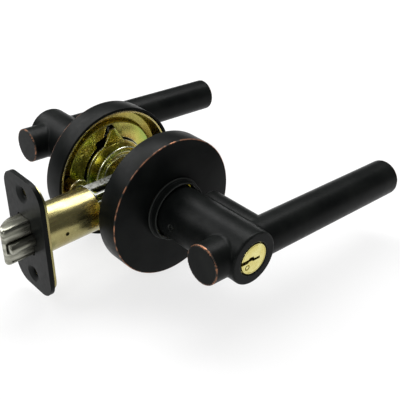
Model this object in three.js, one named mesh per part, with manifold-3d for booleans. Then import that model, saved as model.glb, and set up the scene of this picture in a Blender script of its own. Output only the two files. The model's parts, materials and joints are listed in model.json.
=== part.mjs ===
// Lever handle lockset, keyed outside, turn button inside. Millimetres, +Z up.
// The spindle runs along Y and the latch along X. Their axes cross at the origin.
// The keyed side faces -Y, the button side +Y, the levers point to +X and the bolt to -X.
import * as THREE from 'three';
import { mergeVertices } from 'three/addons/utils/BufferGeometryUtils.js';
import Module from 'manifold-3d';

// How finely round stretches are divided.
const FINE = 36;
const MEDIUM = 24;
const COARSE = 16;
const TINY = 8;

// Steps in one turn of a coil.
const COIL_STEPS = 8;
const LARGE_COIL_STEPS = 14;

// The free gap left between neighbouring pieces, and how far a cutting tool runs past a face.
const GAP = 0.3;
const PAST = 1;

// The handles hang a little below level, which the play in the spindle's square holes allows.
const SAG = THREE.MathUtils.degToRad(3.5);

// Door side planes of the two rosettes. All side pieces are drawn from these planes outwards.
const OUTER_PLANE = -14;
const INNER_PLANE = 17;

const ROSETTE = { radius: 33.3, depth: 11.2, wall: 1.2, edgeRound: 1, hole: 14.5 };
const COLLAR = { bore: 13.4, radius: 14.1, flange: 15.2, flangeThick: 0.8, inner: 9, front: 15.6 };

// The pressed plate that fills the rosette: rim, deep groove, raised annulus, central hole.
const PLATE = {
  thick: 1, rim: 31.7, rimDepth: 0.6, grooveOuter: 29.8, grooveInner: 25.6, grooveDepth: 8.2,
  shelfOuter: 24.9, shelfOuterDepth: 4.6, hole: 17.3, shelfInnerDepth: 3.4,
};
// Behind the ear the plate has a notch, with a relief on one side for the spring's leg.
const NOTCH = { halfWidth: 6.5, tip: 24.2, tipHalfWidth: 1.6, overlap: 2 };
const RELIEF = { low: 14, inner: 3.5, innerTop: 19.6, outer: 9, outerTop: 17.6 };
const BOSS = { offset: 23.5, radius: 5.5, bore: 2.5, front: -1.6, foot: 4.4 };

// The turning driver: a disc with one ear for the spring and a hub that looks into the door.
const DRIVER = { radius: 16.8, front: 1.5, back: 2.7, hub: 15.2, hubEnd: -4, step: 12.6, stepDepth: -2.6 };
const EAR = { halfWidth: 6.2, tip: 23.4, tipHalfWidth: 1.1, overlap: 2 };
const DRIVER_BORE = 10.55;

const SLEEVE = { radius: 10.2, bore: 8.9, end: -2.8, wallEnd: -1.2, reach: 30 };
const RING = { radius: 11.8, start: 4.4, thick: 1 };
const SPINDLE = { side: 7.6, wall: 1, clearance: 0.6, outerReach: 18, innerReach: 18 };
const RETURN_SPRING = {
  radius: 18, wire: 1.2, start: 6.05, pitch: 1.35, turns: 1.75, leg: 4.4, legRadius: 0.5, legInset: 0.2,
};

const LEVER = {
  neck: 12.2, neckStart: 11.7, neckEnd: 62, neckRound: 1, bar: 8.9, barDepth: 52,
  stubEnd: -20.1, barEnd: 103.9, barRound: 1.2, bore: 10.55, boreEnd: 31,
  web: 8.9, webOffset: 12.2, webStart: 21, frontHole: 7.7, frontWall: 1.6,
};
const CATCH = { depth: 23.4, hole: 1.3, stud: 0.9, width: 4.6, height: 3.6, thick: 1.1, reach: 11.9 };

// The key cylinder inside the outer lever. Its pins stand along +X.
const CYLINDER = {
  radius: 8.2, start: 33.2, end: 60, bore: 6.6, chamberEnd: 56, chamberTop: 16.4, chamberHalf: 3.7,
  pocketHalf: 4.1, pocketTop: 17.6, coverThick: 0.8,
};
const PINS = {
  count: 5, first: 36.6, spacing: 4, radius: 1.3, hole: 1.6, foot: 0.9, holeFoot: 0.5,
  driverFoot: 6.7, driverTop: 10.4,
};
const PIN_SPRING = { start: 10.6, end: 16.3, radius: 0.95, wire: 0.4, turns: 3 };
const PLUG = {
  radius: 6.3, start: 31.4, head: 7.1, headStart: 60.3, end: 61.9,
  grooveRadius: 5.5, grooveStart: 31.9, grooveEnd: 32.9,
};
// The keyway's stepped outline in X and Z. It is open at the plug's -X edge.
const KEYWAY = {
  start: 34.3,
  outline: [
    [-8, -0.75], [-3.4, -0.75], [-2.6, -1.35], [-0.6, -1.35], [0.2, -0.25], [3.2, -0.25],
    [3.2, 0.75], [-0.4, 0.75], [-1.2, 0.15], [-2.8, 0.15], [-3.6, 0.75], [-8, 0.75],
  ],
};
const CLIP = { inner: 5.75, outer: 7.7, start: 32.15, thick: 0.5, openHalfWidth: 4.2 };
const BAR = { width: 4.4, thick: 1, slotDepth: 2, slotPlay: 0.3 };
const TAIL_END = 18;
const BUTTON = {
  radius: 6.9, start: 58.4, end: 61.6, gripLength: 11, gripWidth: 3, gripEnd: 66.4,
  stemRadius: 3.6, stemStart: 52,
};
const GUIDE = { radius: 10.2, start: 50.4, end: 57.9, bore: 3.9 };
const ROD_START = 5;
const POST = { radius: 3.6, bore: 2.2, head: 5.1, headThick: 1, end: -16.5, tipWall: 1, tipCone: 1.2 };
const SCREW = {
  radius: 1.9, head: 4, headThick: 2, end: -24, slotWidth: 1, slotDepth: 1.1,
  tipInset: 0.5, tipLength: 0.8, headInset: 0.8, headBevel: 0.6,
};

// The latch. Its front plate is a standard size, and so is its distance from the spindle.
const BACKSET = 60.33;
const FACE = { width: 28.58, height: 57.15, corner: 8.6, thick: 2.1, screwSpacing: 41.28 };
const FACE_SCREW = { radius: 2.4, sink: 4.4, sinkDepth: 1.5 };
const BACK_PLATE = { width: 28, height: 53, thick: 1.1 };
const BOLT_OPENING = { low: -3.9, high: 6.3, half: 9.3, corner: 1.2 };
const TUBE = { radius: 10.6, bore: 9.8, end: -28.6, markX: -47.1, mark: 0.9 };
const BOLT = {
  throw: 12.7, low: -3.6, high: 6, half: 9, flatCorner: 1.8, backCorner: 3.8,
  land: 2.6, noseReach: 3.4, noseRise: 3.6, bevelFoot: 1,
  flangeStart: -43.5, flangeLow: -6.9, flangeHalf: 4, end: -41.5, bore: 2.9, boreY: 2, boreEnd: -60,
};
const PLUNGER = { centre: -4.4, radius: 2.5, tip: -71.6, end: -57, tipRound: 0.6 };
const CASE = { start: -28.3, end: 9.6, halfWidth: 5.6, half: 9, wall: 0.9, postHole: 4.1 };
// One upper corner of the case is cut away, where the retractor's strap can be seen.
const CASE_CUTAWAY = { end: -8.5, inner: 0.3, bottom: 5.2 };
const HUB = { radius: 6.4, reach: 7, hole: 6.9, armLow: -0.2, armHigh: 2.2, armHalf: 2, armReach: 7.6 };
const RETRACTOR = { start: -41.2, thick: 0.9, inner: 7.05, outer: 7.8, low: -3.4, high: -1.9, end: -9 };
const BOLT_SPRING = { start: -59.6, end: -28.7, radius: 2.1, wire: 0.4, turns: 8 };
const PLUNGER_SPRING = { start: -56.6, end: -43.8, radius: 1, wire: 0.3, turns: 5 };

const wasm = await Module();
wasm.setup();

// ---- geometry helpers ----

function signedVolume(geometry) {
  const position = geometry.attributes.position;
  const index = geometry.index;
  const corners = [new THREE.Vector3(), new THREE.Vector3(), new THREE.Vector3()];
  let total = 0;
  for (let i = 0; i < index.count; i += 3) {
    corners.forEach((corner, k) => corner.fromBufferAttribute(position, index.getX(i + k)));
    total += corners[0].dot(corners[1].clone().cross(corners[2]));
  }
  return total / 6;
}

// Welds a geometry into one closed skin whose faces look outwards.
function welded(geometry) {
  const copy = geometry.clone();
  copy.deleteAttribute('normal');
  copy.deleteAttribute('uv');
  const merged = mergeVertices(copy, 1e-4);
  if (signedVolume(merged) < 0) merged.setIndex(Array.from(merged.index.array).reverse());
  return merged;
}

function toManifold(geometry) {
  const skin = welded(geometry);
  return new wasm.Manifold(new wasm.Mesh({
    numProp: 3,
    vertProperties: Float32Array.from(skin.attributes.position.array),
    triVerts: Uint32Array.from(skin.index.array),
  }));
}

// Adds the later solids to the first, then cuts the tools away.
function carve(solids, tools = []) {
  let body = toManifold(solids[0]);
  for (const solid of solids.slice(1)) body = body.add(toManifold(solid));
  for (const tool of tools) body = body.subtract(toManifold(tool));
  const mesh = body.getMesh();
  const geometry = new THREE.BufferGeometry();
  geometry.setAttribute('position', new THREE.BufferAttribute(mesh.vertProperties, 3));
  geometry.setIndex(new THREE.BufferAttribute(mesh.triVerts, 1));
  return geometry;
}

// A body of revolution about Y. Each profile point is [radius, depth along Y].
function turned(profile, segments) {
  const points = profile.map(([radius, depth]) => new THREE.Vector2(radius, depth));
  points.push(points[0].clone());
  return new THREE.LatheGeometry(points, segments);
}

// A solid rod about Y between two depths.
function rod(radius, from, to, segments = MEDIUM) {
  const geometry = new THREE.CylinderGeometry(radius, radius, Math.abs(to - from), segments);
  return geometry.translate(0, (from + to) / 2, 0);
}

function rodAlongX(radius, from, to, segments = MEDIUM) {
  return rod(radius, from, to, segments).rotateZ(-Math.PI / 2);
}

function tube(bore, radius, from, to, segments = MEDIUM) {
  return turned([[bore, from], [radius, from], [radius, to], [bore, to]], segments);
}

// A box given by its low and high corner.
function block(low, high) {
  const size = high.map((value, k) => value - low[k]);
  const middle = high.map((value, k) => (value + low[k]) / 2);
  return new THREE.BoxGeometry(...size).translate(...middle);
}

// A flat shape drawn in X and Z, given thickness along Y.
function slabAcrossY(shape, from, to, curveSegments = 6) {
  const geometry = new THREE.ExtrudeGeometry(shape, { depth: to - from, bevelEnabled: false, curveSegments });
  return geometry.rotateX(Math.PI / 2).translate(0, to, 0);
}

// A flat shape drawn in Y and Z, given thickness along X.
function slabAcrossX(shape, from, to, curveSegments = 6) {
  const geometry = new THREE.ExtrudeGeometry(shape, { depth: to - from, bevelEnabled: false, curveSegments });
  const turn = new THREE.Matrix4().makeBasis(
    new THREE.Vector3(0, 1, 0), new THREE.Vector3(0, 0, 1), new THREE.Vector3(1, 0, 0));
  return geometry.applyMatrix4(turn).translate(from, 0, 0);
}

function polygon(points) {
  return new THREE.Shape(points.map(([a, b]) => new THREE.Vector2(a, b)));
}

// The low side and the high side of the first axis may have different corner radii.
function roundedRectangle(lowA, lowB, highA, highB, lowCorner, highCorner = lowCorner) {
  const shape = new THREE.Shape();
  const quarter = Math.PI / 2;
  shape.absarc(highA - highCorner, highB - highCorner, highCorner, 0, quarter);
  shape.absarc(lowA + lowCorner, highB - lowCorner, lowCorner, quarter, 2 * quarter);
  shape.absarc(lowA + lowCorner, lowB + lowCorner, lowCorner, 2 * quarter, 3 * quarter);
  shape.absarc(highA - highCorner, lowB + highCorner, highCorner, 3 * quarter, 4 * quarter);
  return shape;
}

class Helix extends THREE.Curve {
  constructor(radius, length, turns) {
    super();
    this.radius = radius;
    this.length = length;
    this.turns = turns;
  }

  getPoint(t, target = new THREE.Vector3()) {
    const angle = 2 * Math.PI * this.turns * t;
    return target.set(this.radius * Math.cos(angle), this.length * t, this.radius * Math.sin(angle));
  }
}

// A wire of the given thickness wound about Y, or bent along any other curve.
function wire(curve, thickness, steps, sides = 4) {
  const section = new THREE.Shape();
  for (let k = 0; k < sides; k += 1) {
    const angle = (2 * Math.PI * k) / sides;
    const a = (thickness / 2) * Math.cos(angle);
    const b = (thickness / 2) * Math.sin(angle);
    if (k === 0) section.moveTo(a, b);
    else section.lineTo(a, b);
  }
  section.closePath();
  return new THREE.ExtrudeGeometry(section, { steps, extrudePath: curve, bevelEnabled: false });
}

// A spring about X between two places along X.
function compressionSpring(spring, sides = 4) {
  const inset = spring.wire / 2;
  const helix = new Helix(spring.radius, spring.end - spring.start - 2 * inset, spring.turns);
  const coil = wire(helix, spring.wire, COIL_STEPS * spring.turns, sides);
  return coil.translate(0, spring.start + inset, 0).rotateZ(-Math.PI / 2);
}

// ---- finishes ----

const FINISHES = {
  bronze: { color: 0x2a2c2b, roughness: 0.42, metalness: 0.75 },
  chromate: { color: 0xa9963c, roughness: 0.35, metalness: 0.9 },
  zinc: { color: 0xa8aaa6, roughness: 0.35, metalness: 0.9 },
  brass: { color: 0xd8cf8e, roughness: 0.3, metalness: 0.95 },
  nickel: { color: 0x9a9384, roughness: 0.3, metalness: 0.95 },
  spring: { color: 0x777b80, roughness: 0.35, metalness: 0.9 },
  plastic: { color: 0x1f2021, roughness: 0.6, metalness: 0 },
};

function piece(name, geometry, finish) {
  const skin = welded(geometry);
  skin.computeVertexNormals();
  const mesh = new THREE.Mesh(skin, new THREE.MeshStandardMaterial(FINISHES[finish]));
  mesh.name = name;
  return mesh;
}

// ---- pieces that both sides share, drawn with depth growing away from the door ----

function rosette() {
  const { radius, depth, wall, edgeRound, hole } = ROSETTE;
  const softened = edgeRound * (1 - Math.SQRT1_2);
  return turned([
    [radius - wall, 0], [radius, 0], [radius, depth - edgeRound], [radius - softened, depth - softened],
    [radius - edgeRound, depth], [hole, depth], [hole, depth - wall], [radius - wall, depth - wall],
  ], FINE);
}

function collar() {
  const { bore, radius, flange, flangeThick, inner, front } = COLLAR;
  const seat = ROSETTE.depth + GAP;
  return turned([
    [bore, inner], [radius, inner], [radius, seat], [flange, seat], [flange, seat + flangeThick],
    [radius, seat + flangeThick + GAP], [radius, front], [bore, front],
  ], MEDIUM);
}

function earOutline(ear, root) {
  return polygon([
    [-ear.halfWidth, root], [ear.halfWidth, root], [ear.tipHalfWidth, ear.tip], [-ear.tipHalfWidth, ear.tip],
  ]);
}

// The pressed mounting plate, with a screw boss on each side and a notch behind the driver's ear.
function mountingPlate() {
  const { thick } = PLATE;
  const dish = turned([
    [PLATE.rim, PLATE.rimDepth], [PLATE.grooveOuter + thick, PLATE.grooveDepth + thick],
    [PLATE.grooveInner - thick, PLATE.grooveDepth + thick],
    [PLATE.shelfOuter - thick, PLATE.shelfOuterDepth + thick],
    [PLATE.hole, PLATE.shelfInnerDepth + thick], [PLATE.hole, PLATE.shelfInnerDepth],
    [PLATE.shelfOuter, PLATE.shelfOuterDepth], [PLATE.grooveInner, PLATE.grooveDepth],
    [PLATE.grooveOuter, PLATE.grooveDepth], [PLATE.rim - thick, PLATE.rimDepth],
  ], FINE);
  const bosses = [];
  const bores = [];
  for (const side of [-1, 1]) {
    bosses.push(rod(BOSS.radius, BOSS.front, BOSS.foot, COARSE).translate(side * BOSS.offset, 0, 0));
    const bore = rod(BOSS.bore, BOSS.front - PAST, BOSS.foot + PAST, COARSE);
    bores.push(bore.translate(side * BOSS.offset, 0, 0));
    bores.push(rod(BOSS.radius, BOSS.foot, ROSETTE.depth, COARSE).translate(side * BOSS.offset, 0, 0));
  }
  const outline = earOutline(NOTCH, PLATE.hole - NOTCH.overlap);
  const relief = polygon([
    [-RELIEF.outer, RELIEF.low], [-RELIEF.inner, RELIEF.low],
    [-RELIEF.inner, RELIEF.innerTop], [-RELIEF.outer, RELIEF.outerTop],
  ]);
  const openings = [outline, relief].map(
    (shape) => slabAcrossY(shape, PLATE.shelfInnerDepth - PAST, PLATE.grooveDepth));
  return carve([dish, ...bosses], [...bores, ...openings]);
}

function springDriver() {
  const { radius, front, back, hub, hubEnd, step, stepDepth } = DRIVER;
  const disc = turned([
    [DRIVER_BORE, back], [radius, back], [radius, front], [hub, front], [hub, hubEnd],
    [step, hubEnd], [step, stepDepth], [DRIVER_BORE, stepDepth],
  ], FINE);
  const ear = slabAcrossY(earOutline(EAR, radius - EAR.overlap), front, back);
  return carve([disc, ear]);
}

// The sleeve that carries the lever. Its door end has a square hole for the spindle.
function spindleSleeve() {
  const { radius, bore, end, wallEnd, reach } = SLEEVE;
  const body = turned([
    [0, end], [radius, end], [radius, reach], [bore, reach], [bore, wallEnd], [0, wallEnd],
  ], MEDIUM);
  const square = (SPINDLE.side + SPINDLE.clearance) / 2;
  const spindleHole = block([-square, end - PAST, -square], [square, wallEnd + PAST, square]);
  const halfY = CATCH.height / 2 + GAP;
  const halfZ = CATCH.width / 2 + GAP;
  const window = block(
    [-radius - PAST, CATCH.depth - halfY, -halfZ], [-bore / 2, CATCH.depth + halfY, halfZ]);
  return carve([body], [spindleHole, window]);
}

function sleeveRing() {
  return tube(SLEEVE.radius + GAP, RING.radius, RING.start, RING.start + RING.thick, MEDIUM);
}

function returnSpring() {
  const { radius, wire: thickness, start, pitch, turns, leg, legRadius, legInset } = RETURN_SPRING;
  const steps = Math.round(LARGE_COIL_STEPS * turns);
  const depth = start + thickness / 2;
  const coil = wire(new Helix(radius, pitch * turns, turns), thickness, steps, 5);
  const foot = rodAlongX(legRadius, radius - legInset, radius + leg, TINY);
  return carve([coil.translate(0, depth, 0), foot.translate(0, depth, 0)]).rotateY(-Math.PI / 2);
}

function roundedRodAlongX(radius, from, to, round, segments = MEDIUM) {
  const soft = round * (1 - Math.SQRT1_2);
  const geometry = turned([
    [0, from], [radius - round, from], [radius - soft, from + soft], [radius, from + round],
    [radius, to - round], [radius - soft, to - soft], [radius - round, to], [0, to],
  ], segments);
  return geometry.rotateZ(-Math.PI / 2);
}

function leverBody() {
  const { neck, neckStart, neckEnd, neckRound, bar, barDepth, stubEnd, barEnd, barRound } = LEVER;
  const soft = neckRound * (1 - Math.SQRT1_2);
  const stem = turned([
    [0, neckStart], [neck, neckStart], [neck, neckEnd - neckRound], [neck - soft, neckEnd - soft],
    [neck - neckRound, neckEnd], [0, neckEnd],
  ], FINE);
  const handle = roundedRodAlongX(bar, stubEnd, barEnd, barRound).translate(0, barDepth, 0);
  const web = rod(LEVER.web, LEVER.webStart, barDepth, MEDIUM).translate(LEVER.webOffset, 0, 0);
  return [stem, handle, web];
}

function catchHole() {
  return rodAlongX(CATCH.hole, -LEVER.neck - PAST, -LEVER.bore + PAST, TINY).translate(0, CATCH.depth, 0);
}

function outerLever() {
  const pocketEnd = LEVER.neckEnd - LEVER.frontWall;
  const pocketRadius = CYLINDER.radius + GAP;
  const { pocketHalf, pocketTop, chamberEnd } = CYLINDER;
  return carve(leverBody(), [
    rod(LEVER.bore, LEVER.neckStart - PAST, LEVER.boreEnd, MEDIUM),
    rod(pocketRadius, LEVER.boreEnd - PAST, pocketEnd, MEDIUM),
    block([0, LEVER.neckStart - PAST, -pocketHalf], [pocketTop, chamberEnd + GAP, pocketHalf]),
    rod(LEVER.frontHole, pocketEnd - PAST, LEVER.neckEnd + PAST, MEDIUM),
    catchHole(),
  ]);
}

function innerLever() {
  return carve(leverBody(), [
    rod(LEVER.bore, LEVER.neckStart - PAST, BUTTON.start - GAP, MEDIUM),
    rod(LEVER.frontHole, BUTTON.start - PAST, LEVER.neckEnd + PAST, MEDIUM),
    catchHole(),
  ]);
}

// The small sprung catch that holds the lever on its sleeve.
function leverCatch() {
  const halfY = CATCH.height / 2;
  const halfZ = CATCH.width / 2;
  const face = -SLEEVE.radius + GAP;
  const plate = block(
    [face, CATCH.depth - halfY, -halfZ], [face + CATCH.thick, CATCH.depth + halfY, halfZ]);
  const stud = rodAlongX(CATCH.stud, -CATCH.reach, face + CATCH.thick / 2, TINY);
  return carve([plate, stud.translate(0, CATCH.depth, 0)]);
}

// ---- key cylinder ----

function pinDepth(number) {
  return PINS.first + PINS.spacing * number;
}

function pinNumbers() {
  return Array.from({ length: PINS.count }, (_, number) => number);
}

function cylinderBody() {
  const { radius, start, end, bore, chamberEnd, chamberTop, chamberHalf } = CYLINDER;
  const shell = rod(radius, start, end, MEDIUM);
  const chamber = block([0, start, -chamberHalf], [chamberTop, chamberEnd, chamberHalf]);
  const holes = pinNumbers().map((number) => (
    rodAlongX(PINS.hole, 0, chamberTop + PAST, TINY).translate(0, pinDepth(number), 0)));
  return carve([shell, chamber], [rod(bore, start - PAST, end + PAST, MEDIUM), ...holes]);
}

function chamberCover() {
  const { start, chamberEnd, chamberTop, chamberHalf, coverThick } = CYLINDER;
  const foot = chamberTop + GAP / 2;
  return block(
    [foot, start + GAP, -chamberHalf + GAP], [foot + coverThick, chamberEnd - GAP, chamberHalf - GAP]);
}

function keyPlug() {
  const body = turned([
    [0, PLUG.start], [PLUG.radius, PLUG.start], [PLUG.radius, PLUG.grooveStart],
    [PLUG.grooveRadius, PLUG.grooveStart], [PLUG.grooveRadius, PLUG.grooveEnd],
    [PLUG.radius, PLUG.grooveEnd], [PLUG.radius, PLUG.headStart],
    [PLUG.head, PLUG.headStart], [PLUG.head, PLUG.end], [0, PLUG.end],
  ], MEDIUM);
  const keyway = slabAcrossY(polygon(KEYWAY.outline), KEYWAY.start, PLUG.end + PAST);
  const holes = pinNumbers().map((number) => (
    rodAlongX(PINS.hole, PINS.holeFoot, PLUG.radius + PAST, TINY).translate(0, pinDepth(number), 0)));
  const halfWidth = BAR.width / 2 + BAR.slotPlay;
  const halfThick = BAR.thick / 2 + BAR.slotPlay;
  const tailSlot = block(
    [-halfWidth, PLUG.start - PAST, -halfThick], [halfWidth, PLUG.start + BAR.slotDepth, halfThick]);
  return carve([body], [keyway, ...holes, tailSlot]);
}

function bottomPin(number) {
  return rodAlongX(PINS.radius, PINS.foot, PLUG.radius, TINY).translate(0, pinDepth(number), 0);
}

function driverPin(number) {
  return rodAlongX(PINS.radius, PINS.driverFoot, PINS.driverTop, TINY).translate(0, pinDepth(number), 0);
}

function pinSpring(number) {
  return compressionSpring(PIN_SPRING, 3).translate(0, pinDepth(number), 0);
}

// An open ring in the plug's groove.
function retainerClip() {
  const ring = tube(CLIP.inner, CLIP.outer, CLIP.start, CLIP.start + CLIP.thick, COARSE);
  const mouth = block(
    [-CLIP.outer - PAST, CLIP.start - PAST, -CLIP.openHalfWidth],
    [0, CLIP.start + CLIP.thick + PAST, CLIP.openHalfWidth]);
  return carve([ring], [mouth]);
}

function flatBar(from, to) {
  return block([-BAR.width / 2, from, -BAR.thick / 2], [BAR.width / 2, to, BAR.thick / 2]);
}

// ---- turn button ----

function turnButton() {
  const { radius, start, end, gripLength, gripWidth, gripEnd, stemRadius, stemStart } = BUTTON;
  const cap = rod(radius, start, end, MEDIUM);
  const stem = rod(stemRadius, stemStart, start + PAST, COARSE);
  const grip = block(
    [-gripLength / 2, start + PAST, -gripWidth / 2], [gripLength / 2, gripEnd, gripWidth / 2]);
  const halfWidth = BAR.width / 2 + BAR.slotPlay;
  const halfThick = BAR.thick / 2 + BAR.slotPlay;
  const slot = block(
    [-halfWidth, stemStart - PAST, -halfThick], [halfWidth, stemStart + BAR.slotDepth + GAP, halfThick]);
  return carve([cap, stem, grip], [slot]);
}

function buttonGuide() {
  return tube(GUIDE.bore, GUIDE.radius, GUIDE.start, GUIDE.end, MEDIUM);
}

// ---- posts and screws ----

function threadedPost() {
  const headBack = BOSS.foot + GAP;
  return turned([
    [POST.bore, POST.end], [POST.radius, POST.end], [POST.radius, BOSS.front - GAP],
    [BOSS.bore - GAP, BOSS.front - GAP], [BOSS.bore - GAP, headBack],
    [POST.head, headBack], [POST.head, headBack + POST.headThick], [0, headBack + POST.headThick],
    [0, BOSS.front - POST.tipWall], [POST.bore, BOSS.front - POST.tipWall - POST.tipCone],
  ], COARSE);
}

function mountingScrew() {
  const headBack = BOSS.foot + GAP;
  const headTop = headBack + SCREW.headThick;
  const body = turned([
    [0, SCREW.end], [SCREW.radius - SCREW.tipInset, SCREW.end], [SCREW.radius, SCREW.end + SCREW.tipLength],
    [SCREW.radius, headBack], [SCREW.head, headBack], [SCREW.head, headTop - SCREW.headBevel],
    [SCREW.head - SCREW.headInset, headTop], [0, headTop],
  ], COARSE);
  const slot = block(
    [-SCREW.head - PAST, headTop - SCREW.slotDepth, -SCREW.slotWidth / 2],
    [SCREW.head + PAST, headTop + PAST, SCREW.slotWidth / 2]);
  return carve([body], [slot]);
}

// ---- spindle ----

// A square tube along Y, centred on the latch.
function driveSpindle() {
  const half = SPINDLE.side / 2;
  const hollow = half - SPINDLE.wall;
  const from = OUTER_PLANE - SPINDLE.outerReach;
  const to = INNER_PLANE + SPINDLE.innerReach;
  return carve(
    [block([-half, from, -half], [half, to, half])],
    [block([-hollow, from - PAST, -hollow], [hollow, to + PAST, hollow])]);
}

// ---- latch ----

function plateOutline(plate) {
  const corner = FACE.corner;
  return roundedRectangle(-plate.width / 2, -plate.height / 2, plate.width / 2, plate.height / 2, corner);
}

function boltOpening() {
  const { low, high, half, corner } = BOLT_OPENING;
  return roundedRectangle(low, -half, high, half, corner);
}

function latchFaceplate() {
  const front = -BACKSET;
  const back = front + FACE.thick;
  const plate = slabAcrossX(plateOutline(FACE), front, back);
  const bolt = slabAcrossX(boltOpening(), front - PAST, back + PAST, 3);
  const plunger = rod(PLUNGER.radius + GAP, front - PAST, back + PAST, COARSE).rotateZ(-Math.PI / 2);
  const tools = [bolt, plunger.translate(0, PLUNGER.centre, 0)];
  for (const side of [-1, 1]) {
    const height = (side * FACE.screwSpacing) / 2;
    const { radius, sink, sinkDepth } = FACE_SCREW;
    const hole = turned([
      [0, front - PAST], [sink, front - PAST], [sink, front], [radius, front + sinkDepth],
      [radius, back + PAST], [0, back + PAST],
    ], COARSE).rotateZ(-Math.PI / 2);
    tools.push(hole.translate(0, 0, height));
  }
  return carve([plate], tools);
}

// The back plate fits round the latch's tube.
function latchBackPlate() {
  const front = -BACKSET + FACE.thick + GAP;
  const back = front + BACK_PLATE.thick;
  const plate = slabAcrossX(plateOutline(BACK_PLATE), front, back);
  const tools = [rodAlongX(TUBE.radius + GAP, front - PAST, back + PAST)];
  for (const side of [-1, 1]) {
    const hole = rodAlongX(FACE_SCREW.radius, front - PAST, back + PAST, COARSE);
    tools.push(hole.translate(0, 0, (side * FACE.screwSpacing) / 2));
  }
  return carve([plate], tools);
}

function latchTube() {
  const start = -BACKSET + FACE.thick + GAP;
  const body = tube(TUBE.bore, TUBE.radius, start, TUBE.end, MEDIUM).rotateZ(-Math.PI / 2);
  const mark = rod(TUBE.mark, -TUBE.radius - PAST, -TUBE.bore + PAST, TINY).translate(TUBE.markX, 0, 0);
  return carve([body], [mark]);
}

// The bolt: flat towards the stop, bevelled on the side that rides over the strike.
function latchBolt() {
  const { low, high, half, flatCorner, backCorner, land, noseReach, noseRise, bevelFoot } = BOLT;
  const { flangeStart, flangeLow, flangeHalf, end, bore, boreY, boreEnd } = BOLT;
  const nose = -BACKSET - BOLT.throw;
  const body = slabAcrossX(roundedRectangle(low, -half, high, half, flatCorner, backCorner), nose, end, 3);
  const flange = block([flangeStart, flangeLow, -flangeHalf], [end, 0, flangeHalf]);
  const bevelEnd = -BACKSET - bevelFoot;
  const outline = polygon([
    [nose - PAST, low + land], [nose, low + land], [nose + noseReach, low + land + noseRise],
    [bevelEnd, high], [bevelEnd, high + PAST], [nose - PAST, high + PAST],
  ]);
  const bevel = new THREE.ExtrudeGeometry(outline, { depth: 2 * (half + PAST), bevelEnabled: false });
  bevel.translate(0, 0, -half - PAST);
  const hollow = rodAlongX(bore, boreEnd, end + PAST, COARSE).translate(0, boreY, 0);
  return carve([body, flange], [bevel, hollow, plungerTrack()]);
}

// The half round groove in the bolt's flat side that the plunger runs in.
function plungerTrack() {
  const radius = PLUNGER.radius + GAP;
  const track = rodAlongX(radius, -BACKSET - BOLT.throw - PAST, BOLT.flangeStart, COARSE);
  return track.translate(0, PLUNGER.centre, 0);
}

function deadlatchPlunger() {
  const { radius, tip, end, tipRound, centre } = PLUNGER;
  return roundedRodAlongX(radius, tip, end, tipRound, COARSE).translate(0, centre, 0);
}

function latchCase() {
  const { start, end, halfWidth, half, wall, postHole } = CASE;
  const outside = block([start, -halfWidth, -half], [end, halfWidth, half]);
  const inside = block(
    [start + wall, -halfWidth + wall, -half + wall], [end - wall, halfWidth - wall, half - wall]);
  const slotHalf = RETRACTOR.outer + GAP;
  const slot = block(
    [start - PAST, RETRACTOR.low - GAP, -slotHalf],
    [start + wall + PAST, RETRACTOR.high + GAP, slotHalf]);
  const hubHole = rod(HUB.hole, -halfWidth - PAST, halfWidth + PAST, MEDIUM);
  const throughPost = rod(postHole, -halfWidth - PAST, halfWidth + PAST, COARSE);
  const postHoles = throughPost.translate(-BOSS.offset, 0, 0);
  const cutaway = block(
    [start + wall, -halfWidth - PAST, CASE_CUTAWAY.bottom],
    [CASE_CUTAWAY.end, CASE_CUTAWAY.inner, half + PAST]);
  return carve([outside], [inside, slot, hubHole, postHoles, cutaway]);
}

function latchHub() {
  const { radius, reach, armLow, armHigh, armHalf, armReach } = HUB;
  const square = (SPINDLE.side + SPINDLE.clearance) / 2;
  const arm = block([-armReach, armLow, -armHalf], [0, armHigh, armHalf]);
  const spindleHole = block([-square, -reach - PAST, -square], [square, reach + PAST, square]);
  return carve([rod(radius, -reach, reach, MEDIUM), arm], [spindleHole]);
}

// A fork that ties the bolt to the hub: a foot behind the bolt and a strap above and below the hub.
function latchRetractor() {
  const { start, thick, inner, outer, low, high, end } = RETRACTOR;
  const foot = block([start, low, -outer], [start + thick, high, outer]);
  const straps = [-1, 1].map((side) => {
    const bottom = Math.min(side * inner, side * outer);
    const top = Math.max(side * inner, side * outer);
    return block([start, low, bottom], [end, high, top]);
  });
  return carve([foot, ...straps]);
}

function latchBoltSpring() {
  return compressionSpring(BOLT_SPRING).translate(0, BOLT.boreY, 0);
}

function deadlatchSpring() {
  return compressionSpring(PLUNGER_SPRING).translate(0, PLUNGER.centre, 0);
}

// ---- assembly ----

// What stays still on one side. The outer set is the inner one turned half a turn about X.
function coverGroup(side) {
  const group = new THREE.Group();
  group.add(piece(`${side}_rosette`, rosette(), 'bronze'));
  group.add(piece(`${side}_collar`, collar(), 'bronze'));
  group.add(piece(`${side}_mounting_plate`, mountingPlate(), 'chromate'));
  group.add(piece(`${side}_return_spring`, returnSpring(), 'spring'));
  return group;
}

// What turns with a lever, about the spindle's axis.
function handleGroup(side, lever, tilt) {
  const group = new THREE.Group();
  // The spring keeps its driver level; only what hangs on the driver droops.
  const driver = piece(`${side}_spring_driver`, springDriver(), 'chromate');
  driver.rotation.y = -tilt;
  group.add(driver);
  group.add(piece(`${side}_spindle_sleeve`, spindleSleeve(), 'chromate'));
  group.add(piece(`${side}_sleeve_ring`, sleeveRing(), 'zinc'));
  group.add(piece(`${side}_lever_catch`, leverCatch(), 'spring'));
  group.add(piece(`${side}_lever`, lever, 'bronze'));
  group.rotation.y = tilt;
  return group;
}

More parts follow.
